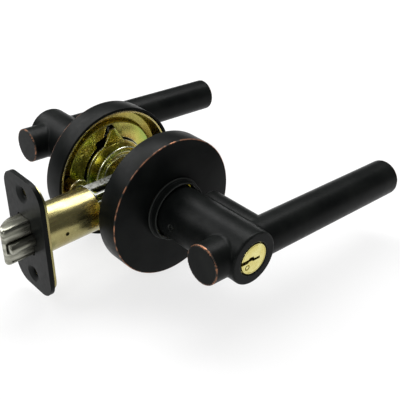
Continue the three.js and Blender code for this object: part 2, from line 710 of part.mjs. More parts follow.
function keyCylinder() {
  const group = new THREE.Group();
  group.add(piece('key_cylinder_body', cylinderBody(), 'brass'));
  group.add(piece('pin_chamber_cover', chamberCover(), 'brass'));
  group.add(piece('key_plug', keyPlug(), 'brass'));
  group.add(piece('plug_retainer_clip', retainerClip(), 'spring'));
  for (const number of pinNumbers()) {
    group.add(piece(`bottom_pin_${number + 1}`, bottomPin(number), 'brass'));
    group.add(piece(`driver_pin_${number + 1}`, driverPin(number), 'brass'));
    group.add(piece(`pin_spring_${number + 1}`, pinSpring(number), 'spring'));
  }
  group.add(piece('key_tailpiece', flatBar(-TAIL_END, PLUG.start + BAR.slotDepth - GAP), 'zinc'));
  return group;
}

function buttonGroup() {
  const group = new THREE.Group();
  group.add(piece('button_guide', buttonGuide(), 'plastic'));
  group.add(piece('turn_button', turnButton(), 'bronze'));
  group.add(piece('turn_button_rod', flatBar(-ROD_START, BUTTON.stemStart + BAR.slotDepth), 'zinc'));
  return group;
}

function fasteners(name, geometry, finish) {
  const group = new THREE.Group();
  [-1, 1].forEach((side, k) => {
    const fastener = piece(`${name}_${k + 1}`, geometry, finish);
    fastener.position.x = side * BOSS.offset;
    group.add(fastener);
  });
  return group;
}

function outerSide() {
  const group = coverGroup('outer');
  const handle = handleGroup('outer', outerLever(), -SAG);
  handle.add(keyCylinder());
  group.add(handle);
  group.add(fasteners('outer_post', threadedPost(), 'chromate'));
  group.position.y = OUTER_PLANE;
  group.rotation.x = Math.PI;
  return group;
}

function innerSide() {
  const group = coverGroup('inner');
  const handle = handleGroup('inner', innerLever(), SAG);
  handle.add(buttonGroup());
  group.add(handle);
  group.add(fasteners('mounting_screw', mountingScrew(), 'zinc'));
  group.position.y = INNER_PLANE;
  return group;
}

// The spindle hangs half as far as the handles.
function spindle() {
  const mesh = piece('drive_spindle', driveSpindle(), 'chromate');
  mesh.rotation.y = SAG / 2;
  return mesh;
}

function latch() {
  const group = new THREE.Group();
  group.add(piece('latch_faceplate', latchFaceplate(), 'bronze'));
  group.add(piece('latch_back_plate', latchBackPlate(), 'chromate'));
  group.add(piece('latch_tube', latchTube(), 'chromate'));
  group.add(piece('latch_case', latchCase(), 'zinc'));
  group.add(piece('latch_bolt', latchBolt(), 'nickel'));
  group.add(piece('latch_retractor', latchRetractor(), 'zinc'));
  group.add(piece('latch_bolt_spring', latchBoltSpring(), 'spring'));
  group.add(piece('deadlatch_plunger', deadlatchPlunger(), 'nickel'));
  group.add(piece('deadlatch_spring', deadlatchSpring(), 'spring'));
  group.add(piece('latch_hub', latchHub(), 'zinc'));
  return group;
}

const lockset = new THREE.Group();
lockset.name = 'lever_handle_lockset';
lockset.add(outerSide());
lockset.add(innerSide());
lockset.add(spindle());
lockset.add(latch());

export default lockset;
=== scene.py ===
"""The visual model of the lever handle lockset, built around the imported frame.

Shapes are drawn in millimetres and stored in metres. A side piece is drawn with its depth
growing away from the door, as the CAD does, and is then set on the outer or the inner side.
"""

import json
import math
from types import SimpleNamespace as Sizes

import bmesh
import bpy
import numpy as np
from mathutils import Matrix, Vector


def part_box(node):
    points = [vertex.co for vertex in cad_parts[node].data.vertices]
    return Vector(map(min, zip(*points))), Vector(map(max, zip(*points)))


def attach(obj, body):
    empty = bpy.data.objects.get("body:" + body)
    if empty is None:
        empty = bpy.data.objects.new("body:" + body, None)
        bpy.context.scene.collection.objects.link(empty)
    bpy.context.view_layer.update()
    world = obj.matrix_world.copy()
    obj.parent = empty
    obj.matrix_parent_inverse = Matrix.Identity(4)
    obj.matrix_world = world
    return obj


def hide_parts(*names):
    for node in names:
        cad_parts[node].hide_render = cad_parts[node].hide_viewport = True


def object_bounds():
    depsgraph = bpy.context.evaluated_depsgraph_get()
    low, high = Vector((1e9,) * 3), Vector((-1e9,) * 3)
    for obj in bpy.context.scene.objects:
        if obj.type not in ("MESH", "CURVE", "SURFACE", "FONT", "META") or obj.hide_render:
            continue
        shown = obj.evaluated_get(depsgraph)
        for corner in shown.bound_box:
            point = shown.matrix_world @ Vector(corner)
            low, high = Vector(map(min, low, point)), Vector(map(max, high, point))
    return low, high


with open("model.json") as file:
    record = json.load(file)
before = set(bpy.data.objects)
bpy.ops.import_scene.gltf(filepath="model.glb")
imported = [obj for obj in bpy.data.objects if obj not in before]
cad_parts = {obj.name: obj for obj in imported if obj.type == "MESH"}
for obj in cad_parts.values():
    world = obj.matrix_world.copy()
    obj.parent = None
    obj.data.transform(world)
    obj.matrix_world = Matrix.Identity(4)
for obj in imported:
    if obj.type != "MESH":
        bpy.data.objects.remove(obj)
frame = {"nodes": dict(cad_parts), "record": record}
CAD_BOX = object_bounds()

MM = 0.001

# How finely round stretches are divided.
RING_STEPS = 112
SMALL_STEPS = 40
CORNER_STEPS = 4
WIRE_SIDES = 10
COIL_STEPS = 36
SHARP_ANGLE = math.radians(38)
PAST = 1.0


def low(node):
    return [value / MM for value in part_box(node)[0]]


def high(node):
    return [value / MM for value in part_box(node)[1]]


OUTER_PLANE = high("outer_rosette")[1]
INNER_PLANE = low("inner_rosette")[1]
LEVER_SAG = math.radians(3.5)
SPINDLE_SAG = LEVER_SAG / 2

BODY_OF = {}
for body, members in frame["record"]["behaviour"]["bodies"].items():
    for member in members:
        BODY_OF[member] = body
SLOT_OF = {row["node"]: row["material_slot"] for row in frame["record"]["subparts"]}

OUTER_SIDE = Matrix.Translation((0, OUTER_PLANE, 0)) @ Matrix.Rotation(math.pi, 4, "X")
INNER_SIDE = Matrix.Translation((0, INNER_PLANE, 0))
OUTER_HANDLE = OUTER_SIDE @ Matrix.Rotation(-LEVER_SAG, 4, "Y")
INNER_HANDLE = INNER_SIDE @ Matrix.Rotation(LEVER_SAG, 4, "Y")
# A shape drawn about its depth axis, laid along X instead.
ALONG_X = Matrix.Rotation(-math.pi / 2, 4, "Z")


# ---- mesh helpers, in millimetres ----

def new_object(name, points, faces, normals=None):
    mesh = bpy.data.meshes.new(name)
    mesh.from_pydata([tuple(point) for point in points], [], [tuple(face) for face in faces])
    mesh.update()
    if normals is not None:
        mesh.polygons.foreach_set("use_smooth", [True] * len(mesh.polygons))
        mesh.normals_split_custom_set_from_vertices([tuple(normal) for normal in normals])
    obj = bpy.data.objects.new(name, mesh)
    bpy.context.scene.collection.objects.link(obj)
    return obj


def tidy_mesh(obj):
    """Welds the seam, turns the faces outwards and shades all but the sharp edges smooth."""
    work = bmesh.new()
    work.from_mesh(obj.data)
    bmesh.ops.remove_doubles(work, verts=work.verts, dist=1e-4)
    bmesh.ops.recalc_face_normals(work, faces=work.faces)
    for face in work.faces:
        face.smooth = True
    for edge in work.edges:
        edge.smooth = len(edge.link_faces) == 2 and edge.calc_face_angle(0) < SHARP_ANGLE
    work.to_mesh(obj.data)
    work.free()
    return obj


def rounded(corners, steps=CORNER_STEPS):
    """A closed outline from corners (a, b, radius of the round)."""
    outline = []
    for index, (a, b, radius) in enumerate(corners):
        here = np.array((a, b), float)
        if radius == 0:
            outline.append(here)
            continue
        back = np.array(corners[index - 1][:2], float) - here
        ahead = np.array(corners[(index + 1) % len(corners)][:2], float) - here
        back /= np.linalg.norm(back)
        ahead /= np.linalg.norm(ahead)
        half = math.acos(max(-1.0, min(1.0, float(back @ ahead)))) / 2
        middle = (back + ahead) / np.linalg.norm(back + ahead)
        centre = here + middle * radius / math.sin(half)
        start = here + back * radius / math.tan(half) - centre
        end = here + ahead * radius / math.tan(half) - centre
        first = math.atan2(start[1], start[0])
        sweep = math.atan2(end[1], end[0]) - first
        sweep = (sweep + math.pi) % (2 * math.pi) - math.pi
        for step in range(steps + 1):
            angle = first + sweep * step / steps
            outline.append(centre + radius * np.array((math.cos(angle), math.sin(angle))))
    return outline


def rounded_box(lowest, highest, corner, steps=CORNER_STEPS):
    return rounded([
        (lowest[0], lowest[1], corner), (highest[0], lowest[1], corner),
        (highest[0], highest[1], corner), (lowest[0], highest[1], corner)], steps)


def rounded_square(half, corner):
    return rounded_box((-half, -half), (half, half), corner)


def lathe(name, corners, steps=RING_STEPS, corner_steps=CORNER_STEPS):
    """Turns a closed profile of (radius, depth, round) about the depth axis, which is Y."""
    profile = rounded(corners, corner_steps)
    points = []
    for step in range(steps):
        angle = 2 * math.pi * step / steps
        for radius, depth in profile:
            points.append((radius * math.cos(angle), depth, radius * math.sin(angle)))
    count = len(profile)
    faces = []
    for step in range(steps):
        here = step * count
        ahead = (step + 1) % steps * count
        for k in range(count):
            after = (k + 1) % count
            on_axis = max(profile[k][0], profile[after][0]) < 1e-6
            if not on_axis:
                faces.append((here + k, here + after, ahead + after, ahead + k))
    return tidy_mesh(drop_slivers(new_object(name, points, faces)))


def drop_slivers(obj):
    """Collapses what meets on the axis of a turned shape."""
    work = bmesh.new()
    work.from_mesh(obj.data)
    bmesh.ops.remove_doubles(work, verts=work.verts, dist=1e-4)
    bmesh.ops.dissolve_degenerate(work, edges=work.edges, dist=1e-5)
    work.to_mesh(obj.data)
    work.free()
    return obj


def prism(name, outline, start, end, axis):
    """Pushes a flat outline along an axis. The outline's two places are the other two, in order."""
    across = [k for k in range(3) if k != axis]
    points = []
    for place in (start, end):
        for a, b in outline:
            point = [0.0, 0.0, 0.0]
            point[axis] = place
            point[across[0]] = a
            point[across[1]] = b
            points.append(point)
    count = len(outline)
    faces = [tuple(range(count)), tuple(range(count, 2 * count))]
    for k in range(count):
        after = (k + 1) % count
        faces.append((k, after, count + after, count + k))
    return tidy_mesh(new_object(name, points, faces))


def block(name, lowest, highest):
    outline = [
        (lowest[0], lowest[1]), (highest[0], lowest[1]),
        (highest[0], highest[1]), (lowest[0], highest[1]),
    ]
    return prism(name, outline, lowest[2], highest[2], axis=2)


def rod(name, radius, start, end, steps=SMALL_STEPS):
    return lathe(name, [(0, start, 0), (radius, start, 0), (radius, end, 0), (0, end, 0)], steps)


def moved(obj, matrix):
    obj.data.transform(matrix)
    return obj


def shifted(obj, x=0.0, y=0.0, z=0.0):
    return moved(obj, Matrix.Translation((x, y, z)))


def laid(obj, x=0.0, y=0.0, z=0.0):
    """Lays a shape that was drawn about its depth axis along X, and shifts it."""
    return shifted(moved(obj, ALONG_X), x, y, z)


def drill(radius, start, end):
    """A rod for cutting a hole, reaching past both ends."""
    return rod("drill", radius, start - PAST, end + PAST)


def apply_modifiers(obj):
    evaluated = obj.evaluated_get(bpy.context.evaluated_depsgraph_get())
    mesh = bpy.data.meshes.new_from_object(evaluated)
    obj.modifiers.clear()
    old = obj.data
    obj.data = mesh
    bpy.data.meshes.remove(old)
    return obj


def combine(obj, operation, others):
    for other in others:
        modifier = obj.modifiers.new(operation, "BOOLEAN")
        modifier.operation = operation
        modifier.solver = "EXACT"
        modifier.object = other
        apply_modifiers(obj)
        bpy.data.objects.remove(other)
    return tidy_mesh(obj)


def join(obj, *others):
    return combine(obj, "UNION", others)


def cut(obj, *others):
    return combine(obj, "DIFFERENCE", others)


def soften(obj, width, segments=3):
    """Rounds the sharp edges a little and keeps the flat faces flat."""
    bevel = obj.modifiers.new("round", "BEVEL")
    bevel.width = width
    bevel.segments = segments
    bevel.limit_method = "ANGLE"
    bevel.angle_limit = SHARP_ANGLE
    bevel.use_clamp_overlap = True
    apply_modifiers(obj)
    tidy_mesh(obj)
    weigh = obj.modifiers.new("flat", "WEIGHTED_NORMAL")
    weigh.keep_sharp = True
    return apply_modifiers(obj)


def wire(name, path, radius, sides=WIRE_SIDES):
    """A round wire along a list of points, closed at both ends."""
    path = np.array(path, float)
    ahead = np.gradient(path, axis=0)
    ahead /= np.linalg.norm(ahead, axis=1)[:, None]
    across = np.cross(ahead[0], (0, 1, 0))
    if np.linalg.norm(across) < 0.1:
        across = np.cross(ahead[0], (1, 0, 0))
    points = []
    for place, direction in zip(path, ahead):
        across = across - direction * (across @ direction)
        across /= np.linalg.norm(across)
        other = np.cross(direction, across)
        for side in range(sides):
            angle = 2 * math.pi * side / sides
            points.append(place + radius * (math.cos(angle) * across + math.sin(angle) * other))
    faces = [tuple(range(sides)), tuple(range(len(points) - sides, len(points)))]
    for ring in range(len(path) - 1):
        for side in range(sides):
            after = (side + 1) % sides
            first = ring * sides
            faces.append((first + side, first + after, first + sides + after, first + sides + side))
    return tidy_mesh(new_object(name, points, faces))


def coil(name, radius, thickness, start, end, turns):
    """A spring about the depth axis, its wire inside the two places."""
    steps = int(COIL_STEPS * turns) + 1
    along = np.linspace(0, 1, steps)
    angle = 2 * math.pi * turns * along
    depth = start + thickness / 2 + (end - start - thickness) * along
    path = np.stack([radius * np.cos(angle), depth, radius * np.sin(angle)], axis=1)
    return wire(name, path, thickness / 2)


# ---- shapes given by their distance, for castings whose parts flow together ----

def norm(*parts):
    return np.sqrt(sum(part * part for part in parts))


def rod_distance(across, along, radius, start, end, edge):
    side = across - radius + edge
    ends = np.abs(along - (start + end) / 2) - (end - start) / 2 + edge
    outside = norm(np.maximum(side, 0), np.maximum(ends, 0))
    return outside + np.minimum(np.maximum(side, ends), 0) - edge


def box_distance(places, lowest, highest, edge):
    reach = []
    for place, start, end in zip(places, lowest, highest):
        reach.append(np.abs(place - (start + end) / 2) - (end - start) / 2 + edge)
    outside = norm(*[np.maximum(part, 0) for part in reach])
    inside = np.minimum(np.maximum(np.maximum(reach[0], reach[1]), reach[2]), 0)
    return outside + inside - edge


def filleted(first, second, radius):
    """Both solids, with a fillet where they meet."""
    near = norm(np.maximum(radius - first, 0), np.maximum(radius - second, 0))
    return np.maximum(radius, np.minimum(first, second)) - near


def without(first, second, radius):
    """The first solid less the second, with the new edge rounded."""
    near = norm(np.maximum(radius + first, 0), np.maximum(radius - second, 0))
    return np.minimum(-radius, np.maximum(first, -second)) + near


def slopes(distance, points):
    step = 0.02
    columns = []
    for k in range(3):
        ahead = points.copy()
        behind = points.copy()
        ahead[:, k] += step
        behind[:, k] -= step
        columns.append((distance(*ahead.T) - distance(*behind.T)) / (2 * step))
    return np.stack(columns, axis=1)


def crossings(field):
    """The mean place, within each cell, where its edges cross the surface, and which cells have one."""
    cells = tuple(n - 1 for n in field.shape)
    total = np.zeros(cells + (3,))
    hits = np.zeros(cells)
    for axis in range(3):
        first, second = [k for k in range(3) if k != axis]
        for a in (0, 1):
            for b in (0, 1):
                shift = [0, 0, 0]
                shift[first] = a
                shift[second] = b
                start = field[tuple(slice(s, s + n) for s, n in zip(shift, cells))]
                shift[axis] = 1
                end = field[tuple(slice(s, s + n) for s, n in zip(shift, cells))]
                crossed = (start < 0) != (end < 0)
                share = np.where(crossed, start / np.where(crossed, start - end, 1), 0)
                total[..., axis] += share
                total[..., first] += crossed * a
                total[..., second] += crossed * b
                hits += crossed
    return total, hits


def cast(name, distance, lowest, highest, pitch, matrix):
    """Turns a distance function into a mesh of quads that lie exactly on its surface."""
    lowest = np.array(lowest, float)
    counts = [int(math.ceil((b - a) / pitch)) + 1 for a, b in zip(lowest, highest)]
    axes = [start + pitch * np.arange(n) for start, n in zip(lowest, counts)]
    field = distance(*np.meshgrid(*axes, indexing="ij"))
    total, hits = crossings(field)
    used = hits > 0
    number = np.full(used.shape, -1)
    number[used] = np.arange(int(used.sum()))
    cell = np.stack(np.nonzero(used), axis=1)
    points = lowest + pitch * (cell + total[used] / hits[used][:, None])
    for _ in range(5):
        slope = slopes(distance, points)
        move = distance(*points.T) / np.maximum((slope ** 2).sum(axis=1), 0.25)
        points -= np.clip(move, -pitch / 2, pitch / 2)[:, None] * slope
    normals = slopes(distance, points)
    normals /= np.maximum(np.linalg.norm(normals, axis=1), 1e-9)[:, None]
    turn = np.array(matrix.to_3x3())
    points = points @ turn.T + np.array(matrix.translation)
    return new_object(name, points, net_faces(field, number), normals @ turn.T)


def net_faces(field, number):
    """One quad round each grid edge that crosses the surface, facing outwards."""
    faces = []
    for axis in range(3):
        first = (axis + 1) % 3
        second = (axis + 2) % 3
        sides = np.moveaxis(field, (axis, first, second), (0, 1, 2)) < 0
        cells = np.moveaxis(number, (axis, first, second), (0, 1, 2))
        leaving = sides[:-1, 1:-1, 1:-1] & ~sides[1:, 1:-1, 1:-1]
        entering = ~sides[:-1, 1:-1, 1:-1] & sides[1:, 1:-1, 1:-1]
        around = [cells[:, :-1, :-1], cells[:, 1:, :-1], cells[:, 1:, 1:], cells[:, :-1, 1:]]
        faces.append(np.stack([ring[leaving] for ring in around], axis=1))
        faces.append(np.stack([ring[entering] for ring in around[::-1]], axis=1))
    return np.concatenate(faces)


# ---- materials ----

class Surface:
    """A procedural material whose nodes are added one line at a time."""

    def __init__(self, name):
        self.material = bpy.data.materials.new(name)
        self.material.use_nodes = True
        self.tree = self.material.node_tree
        self.shader = self.tree.nodes["Principled BSDF"]
        self.place = self.add("ShaderNodeTexCoord").outputs["Object"]

    def add(self, kind, inputs=None, **settings):
        node = self.tree.nodes.new(kind)
        for key, value in settings.items():
            setattr(node, key, value)
        for key, value in (inputs or {}).items():
            if isinstance(value, bpy.types.NodeSocket):
                self.tree.links.new(value, node.inputs[key])
            else:
                node.inputs[key].default_value = value
        return node

    def noise(self, scale, detail=3.0, stretch=(1, 1, 1)):
        """Noise whose grain is about 1 / scale millimetres, drawn out along an axis if wanted."""
        laid = self.add("ShaderNodeMapping", {
            "Vector": self.place, "Scale": [scale / MM * part for part in stretch]})
        made = self.add("ShaderNodeTexNoise", {
            "Vector": laid.outputs["Vector"], "Scale": 1.0, "Detail": detail})
        return made.outputs["Fac"]

    def span(self, value, start, end, low_value=0.0, high_value=1.0):
        made = self.add("ShaderNodeMapRange", {
            "Value": value, "From Min": start, "From Max": end,
            "To Min": low_value, "To Max": high_value})
        return made.outputs["Result"]

    def product(self, first, second):
        return self.add("ShaderNodeMath", {0: first, 1: second}, operation="MULTIPLY").outputs[0]

    def blend(self, share, first, second):
        node = self.add("ShaderNodeMix", {0: share}, data_type="RGBA")
        for socket, value in ((node.inputs[6], first), (node.inputs[7], second)):
            if isinstance(value, bpy.types.NodeSocket):
                self.tree.links.new(value, socket)
            else:
                socket.default_value = (*value, 1.0)
        return node.outputs[2]

    def ramp(self, value, stops):
        node = self.add("ShaderNodeValToRGB", {"Fac": value})
        elements = node.color_ramp.elements
        while len(elements) < len(stops):
            elements.new(0.5)
        for element, (place, colour) in zip(elements, stops):
            element.position = place
            element.color = (*colour, 1.0)
        return node.outputs["Color"]

    def attribute(self, name):
        return self.add("ShaderNodeAttribute", attribute_name=name).outputs["Fac"]

    def bump(self, height, strength, depth):
        """Bump with its depth in millimetres."""
        node = self.add("ShaderNodeBump", {
            "Height": height, "Strength": strength, "Distance": depth * MM})
        self.set("Normal", node.outputs["Normal"])

    def set(self, socket, value):
        if isinstance(value, bpy.types.NodeSocket):
            self.tree.links.new(value, self.shader.inputs[socket])
        else:
            self.shader.inputs[socket].default_value = value


BRONZE_DARK = (0.0030, 0.0037, 0.0036)
BRONZE_LIGHT = (0.0068, 0.0077, 0.0072)
# Painted highlight: the grey that marked edges turn, standing in for gloss there.
BRONZE_EDGE_HIGHLIGHT = (0.026, 0.028, 0.026)
COPPER = (0.38, 0.175, 0.10)
# Bends, in 1/mm, at which the finish starts to be rubbed off and how much more rubs it through; the
# slight level gives edges a painted highlight and no copper.
WEAR_AND_SHEEN = Sizes(slight_bend=0.8, range=0.6, hardly=0.12, near_end=3.0)


def bronze():
    """Oil-rubbed bronze: near black and satin, with a painted grey highlight along the marked edges and
    copper where the edges are rubbed through.
    """
    made = Surface("bronze")
    cloud = made.noise(0.09, 4)
    base = made.blend(made.span(cloud, 0.35, 0.65), BRONZE_DARK, BRONZE_LIGHT)
    wear_and_sheen = made.attribute("wear_and_sheen")
    # Painted highlight: the marked edges are blended towards grey.
    edge_highlit = made.blend(made.span(wear_and_sheen, 0.02, 0.10), base, BRONZE_EDGE_HIGHLIGHT)
    rubbed = made.span(made.noise(0.35, 5), 0.38, 0.64)
    worn = made.product(made.span(wear_and_sheen, 0.3, 0.9), rubbed)
    made.set("Base Color", made.blend(worn, edge_highlit, COPPER))
    made.set("Metallic", made.span(worn, 0, 1, 0.0, 0.85))
    made.set("Roughness", made.span(made.noise(0.5, 4), 0.3, 0.7, 0.32, 0.42))
    made.set("Specular IOR Level", 0.06)
    made.bump(made.noise(3.2, 3), 0.22, 0.05)
    return made.material


def plated(name, stops, roughness, stretch):
    """Chromate plating: soft clouds of colour over metal with fine marks, and pale marked edges, partly
    rubbed-through zinc and partly a painted highlight.
    """
    made = Surface(name)
    colour = made.ramp(made.noise(0.07, 3), stops)
    spots = made.span(made.noise(0.8, 4), 0.56, 0.76)
    spotted = made.blend(made.product(spots, 0.15), colour, (0.62, 0.66, 0.34))
    # Pale edges: partly zinc rubbed through the chromate, partly a painted highlight.
    pale = made.blend(made.span(made.attribute("wear_and_sheen"), 0.02, 0.10), spotted, (0.86, 0.88, 0.66))
    made.set("Base Color", pale)
    made.set("Metallic", 1.0)
    made.set("Roughness", made.span(made.noise(0.9, 3, stretch), 0.3, 0.7, *roughness))
    made.bump(made.noise(1.6, 2, stretch), 0.08, 0.03)
    return made, pale


def chromate():
    """Yellow chromate on zinc: olive gold with greener clouds, and browner from the deep groove
    outwards.
    """
    made, pale = plated("chromate", [
        (0.32, (0.24, 0.36, 0.09)), (0.45, (0.44, 0.46, 0.10)), (0.55, (0.52, 0.48, 0.12)),
        (0.66, (0.46, 0.34, 0.09)), (0.76, (0.34, 0.20, 0.07))], (0.18, 0.32), (1, 1, 1))
    across = made.add("ShaderNodeVectorMath", {0: made.place, 1: (1, 0, 1)}, operation="MULTIPLY")
    radius = made.add("ShaderNodeVectorMath", {0: across.outputs[0]}, operation="LENGTH")
    groove = made.span(radius.outputs["Value"], 24.6 * MM, 25.6 * MM)
    made.set("Base Color", made.blend(made.product(groove, 0.6), pale, (0.42, 0.28, 0.08)))
    return made.material


def gold_chromate():
    """The latch tube and back plate: an even, paler chromate with lengthwise marks."""
    made, _ = plated("gold_chromate", [
        (0.35, (0.22, 0.205, 0.085)), (0.50, (0.34, 0.30, 0.13)), (0.66, (0.31, 0.25, 0.105))],
        (0.20, 0.32), (0.15, 1, 1))
    return made.material


def metal(name, clouds, stops, marks, roughness, grain, strength, depth):
    """Bare metal: three noises, for the clouds of colour, the marks in the gloss and the grain."""
    made = Surface(name)
    made.set("Base Color", made.ramp(made.noise(*clouds), stops))
    made.set("Metallic", 1.0)
    made.set("Roughness", made.span(made.noise(*marks), 0.3, 0.7, *roughness))
    made.bump(made.noise(*grain), strength, depth)
    return made.material


def zinc():
    return metal("zinc", (0.12, 4), [(0.35, (0.20, 0.21, 0.20)), (0.60, (0.42, 0.43, 0.41))],
                 (0.9, 4), (0.24, 0.42), (2.2, 4), 0.16, 0.04)


def brass():
    return metal("brass", (0.25, 4), [(0.35, (0.66, 0.58, 0.19)), (0.65, (0.76, 0.70, 0.30))],
                 (1.2, 4), (0.20, 0.36), (4.0, 3), 0.14, 0.03)


def nickel():
    """Satin nickel with fine marks along the bolt's travel."""
    return metal("nickel", (0.45, 4, (0.12, 1, 1)), [
        (0.36, (0.15, 0.15, 0.12)), (0.50, (0.30, 0.30, 0.25)), (0.64, (0.45, 0.445, 0.38))],
        (1.4, 3, (0.10, 1, 1)), (0.24, 0.40), (4.5, 3, (0.08, 1, 1)), 0.25, 0.03)


def spring_steel():
    return metal("spring_steel", (0.5, 3), [(0.35, (0.20, 0.21, 0.22)), (0.65, (0.34, 0.35, 0.36))],
                 (2.0, 3), (0.26, 0.40), (5.0, 2), 0.15, 0.02)


def plastic():
    made = Surface("plastic")
    made.set("Base Color", made.blend(
        made.noise(0.6, 4), (0.010, 0.011, 0.012), (0.022, 0.023, 0.024)))
    made.set("Roughness", made.span(made.noise(1.5, 4), 0.3, 0.7, 0.45, 0.60))
    made.bump(made.noise(3.0, 3), 0.2, 0.04)
    return made.material


MATERIALS = {
    "bronze": bronze(), "chromate": chromate(), "gold_chromate": gold_chromate(),
    "zinc": zinc(), "brass": brass(), "nickel": nickel(), "spring_steel": spring_steel(),
    "plastic": plastic(),
}


def edge_wear_and_sheen(places, facing, first, second):
    """How far each place is worn, and how strong its painted edge highlight is, from how sharply it
    bends away from its neighbours.
    """
    step = places[second] - places[first]
    square = np.maximum((step ** 2).sum(axis=1), 1e-6)
    bend = np.zeros(len(places))
    np.maximum.at(bend, first, -2 * (facing[first] * step).sum(axis=1) / square)
    np.maximum.at(bend, second, 2 * (facing[second] * step).sum(axis=1) / square)
    return np.clip((bend - WEAR_AND_SHEEN.slight_bend) / WEAR_AND_SHEEN.range, 0, 1)


def read_out(rows, key, width, kind=float):
    values = np.zeros(len(rows) * width, kind)
    rows.foreach_get(key, values)
    return values.reshape(-1, width) if width > 1 else values


def mark_wear_and_sheen(mesh, wear_and_sheen_at):
    """Stores how worn the surface is, which also sets the painted edge highlight: 0 on flats and up to
    1 on the outer edges, scaled by the given weighting.
    """
    first, second = read_out(mesh.edges, "vertices", 2, int).T
    by_point = edge_wear_and_sheen(read_out(mesh.vertices, "co", 3), read_out(mesh.vertices, "normal", 3),
                         first, second)
    edges = read_out(mesh.loops, "edge_index", 1, int)
    faces = np.repeat(np.arange(len(mesh.polygons)), read_out(mesh.polygons, "loop_total", 1, int))
    order = np.argsort(edges, kind="stable")
    shared = edges[order][1:] == edges[order][:-1]
    by_face = edge_wear_and_sheen(read_out(mesh.polygons, "center", 3), read_out(mesh.polygons, "normal", 3),
                        faces[order][:-1][shared], faces[order][1:][shared])
    corners = read_out(mesh.loops, "vertex_index", 1, int)
    wear_and_sheen = by_face[faces] * (by_point * wear_and_sheen_at(read_out(mesh.vertices, "co", 3)))[corners]
    attribute = mesh.attributes.new("wear_and_sheen", "FLOAT", "CORNER")
    attribute.data.foreach_set("value", wear_and_sheen.astype(np.float32))


# Every edge gets a slight rub: the painted highlight but no copper on bronze, pale edges on chromate.
def hardly(places):
    return np.full(len(places), WEAR_AND_SHEEN.hardly)


def away_from_door(places):
    """A rosette's front edge is rubbed and carries the painted edge highlight; the edge against the
    door gets neither.
    """
    front = ROSETTE_DEPTH - WEAR_AND_SHEEN.near_end
    outer = places[:, 1] < OUTER_PLANE - front
    inner = places[:, 1] > INNER_PLANE + front
    return np.where(outer | inner, 1, 0)


def bar_ends(places):
    """A lever is rubbed through at its two ends; elsewhere its edges carry only the painted highlight.
    """
    near = WEAR_AND_SHEEN.near_end
    at_end = (places[:, 0] < LEVER.stub + near) | (places[:, 0] > LEVER.bar_end - near)
    return np.where(at_end, 1, WEAR_AND_SHEEN.hardly)


def dress(node, make, material, matrix=None, wear_and_sheen_at=hardly):
    """Makes a piece, sets it in its place, in metres, and lets it stand for its CAD node."""
    obj = make(node)
    if matrix is not None:
        moved(obj, matrix)
    # Bronze and chromate edges are marked for rubbing and for the painted edge highlight.
    if material in ("bronze", "chromate"):
        mark_wear_and_sheen(obj.data, wear_and_sheen_at)
    moved(obj, Matrix.Scale(MM, 4))
    obj.name = node + "_fine"
    obj.data.name = obj.name
    obj.data.materials.clear()
    obj.data.materials.append(MATERIALS[material])
    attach(obj, BODY_OF[node])
    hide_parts(node)
    return obj


# ---- pieces of both sides ----

GAP = 0.3
ROSETTE_RADIUS = high("inner_rosette")[0]
ROSETTE_DEPTH = high("inner_rosette")[1] - INNER_PLANE
ROSETTE = Sizes(wall=1.2, edge=0.4, hole=14.5)
COLLAR = Sizes(bore=13.4, radius=14.1, flange=15.2, thick=0.8, inner=9.0, front=15.6)
PLATE = Sizes(
    thick=1.0, rim=31.7, rim_depth=0.6, groove_outer=29.8, groove_inner=25.6, groove_depth=8.2,
    shelf_outer=24.9, shelf_outer_depth=4.6, hole=17.3, shelf_inner_depth=3.4,
)
NOTCH = Sizes(half_width=6.5, tip=24.2, tip_half_width=1.6)
RELIEF = Sizes(low=14.0, inner=3.5, inner_top=19.6, outer=9.0, outer_top=17.6)
BOSS = Sizes(offset=23.5, radius=5.5, bore=2.5, front=-1.6, foot=4.4)
DRIVER = Sizes(
    radius=16.8, front=1.5, back=2.7, hub=15.2, hub_end=-4.0, step=12.6, step_depth=-2.6, bore=10.55,
)
EAR = Sizes(half_width=6.2, tip=23.4, tip_half_width=1.1)
SLEEVE = Sizes(radius=10.2, bore=8.9, end=-2.8, wall_end=-1.2, reach=30.0)
RING = Sizes(radius=11.8, start=4.4, thick=1.0)
SPINDLE = Sizes(side=7.6, wall=1.0, clearance=0.6, corner=0.6, hollow_corner=0.3)
RETURN_SPRING = Sizes(
    radius=18.0, wire=1.2, start=6.05, pitch=1.35, turns=1.75, leg=(0.7, 1.4, 2.4, 4.4),
    leg_slope=1 / 6,
)
CATCH = Sizes(depth=23.4, hole=1.3, stud=0.9, width=4.6, height=3.6, thick=1.1, reach=11.9)
LEVER = Sizes(
    neck=12.2, start=11.7, end=62.0, neck_edge=0.9, bar=8.9, bar_depth=52.0, stub=-20.1,
    bar_end=103.9, bar_edge=0.5, bore=10.55, bore_end=31.0, web=8.9, web_offset=12.2, web_start=21.0,
    front_hole=7.7, front_wall=1.6, fillet=0.8, pitch=0.6,
)
CYLINDER = Sizes(radius=8.2, pocket_half=4.1, pocket_top=17.6, chamber_end=56.0)


def rosette(name):
    edge = ROSETTE.edge
    inside = ROSETTE_RADIUS - ROSETTE.wall
    floor = ROSETTE_DEPTH - ROSETTE.wall
    return lathe(name, [
        (inside, 0, 0.35), (ROSETTE_RADIUS, 0, 0.35), (ROSETTE_RADIUS, ROSETTE_DEPTH, edge),
        (ROSETTE.hole, ROSETTE_DEPTH, 0.4), (ROSETTE.hole, floor, 0.2), (inside, floor, 0.8),
    ])


def collar(name):
    seat = ROSETTE_DEPTH + GAP
    top = seat + COLLAR.thick
    bore, radius, flange = COLLAR.bore, COLLAR.radius, COLLAR.flange
    return lathe(name, [
        (bore, COLLAR.inner, 0.15), (radius, COLLAR.inner, 0.15), (radius, seat, 0),
        (flange, seat, 0.1), (flange, top, 0.55), (radius, top + 0.2, 0.3),
        (radius, COLLAR.front, 0.33), (bore, COLLAR.front, 0.33),
    ])


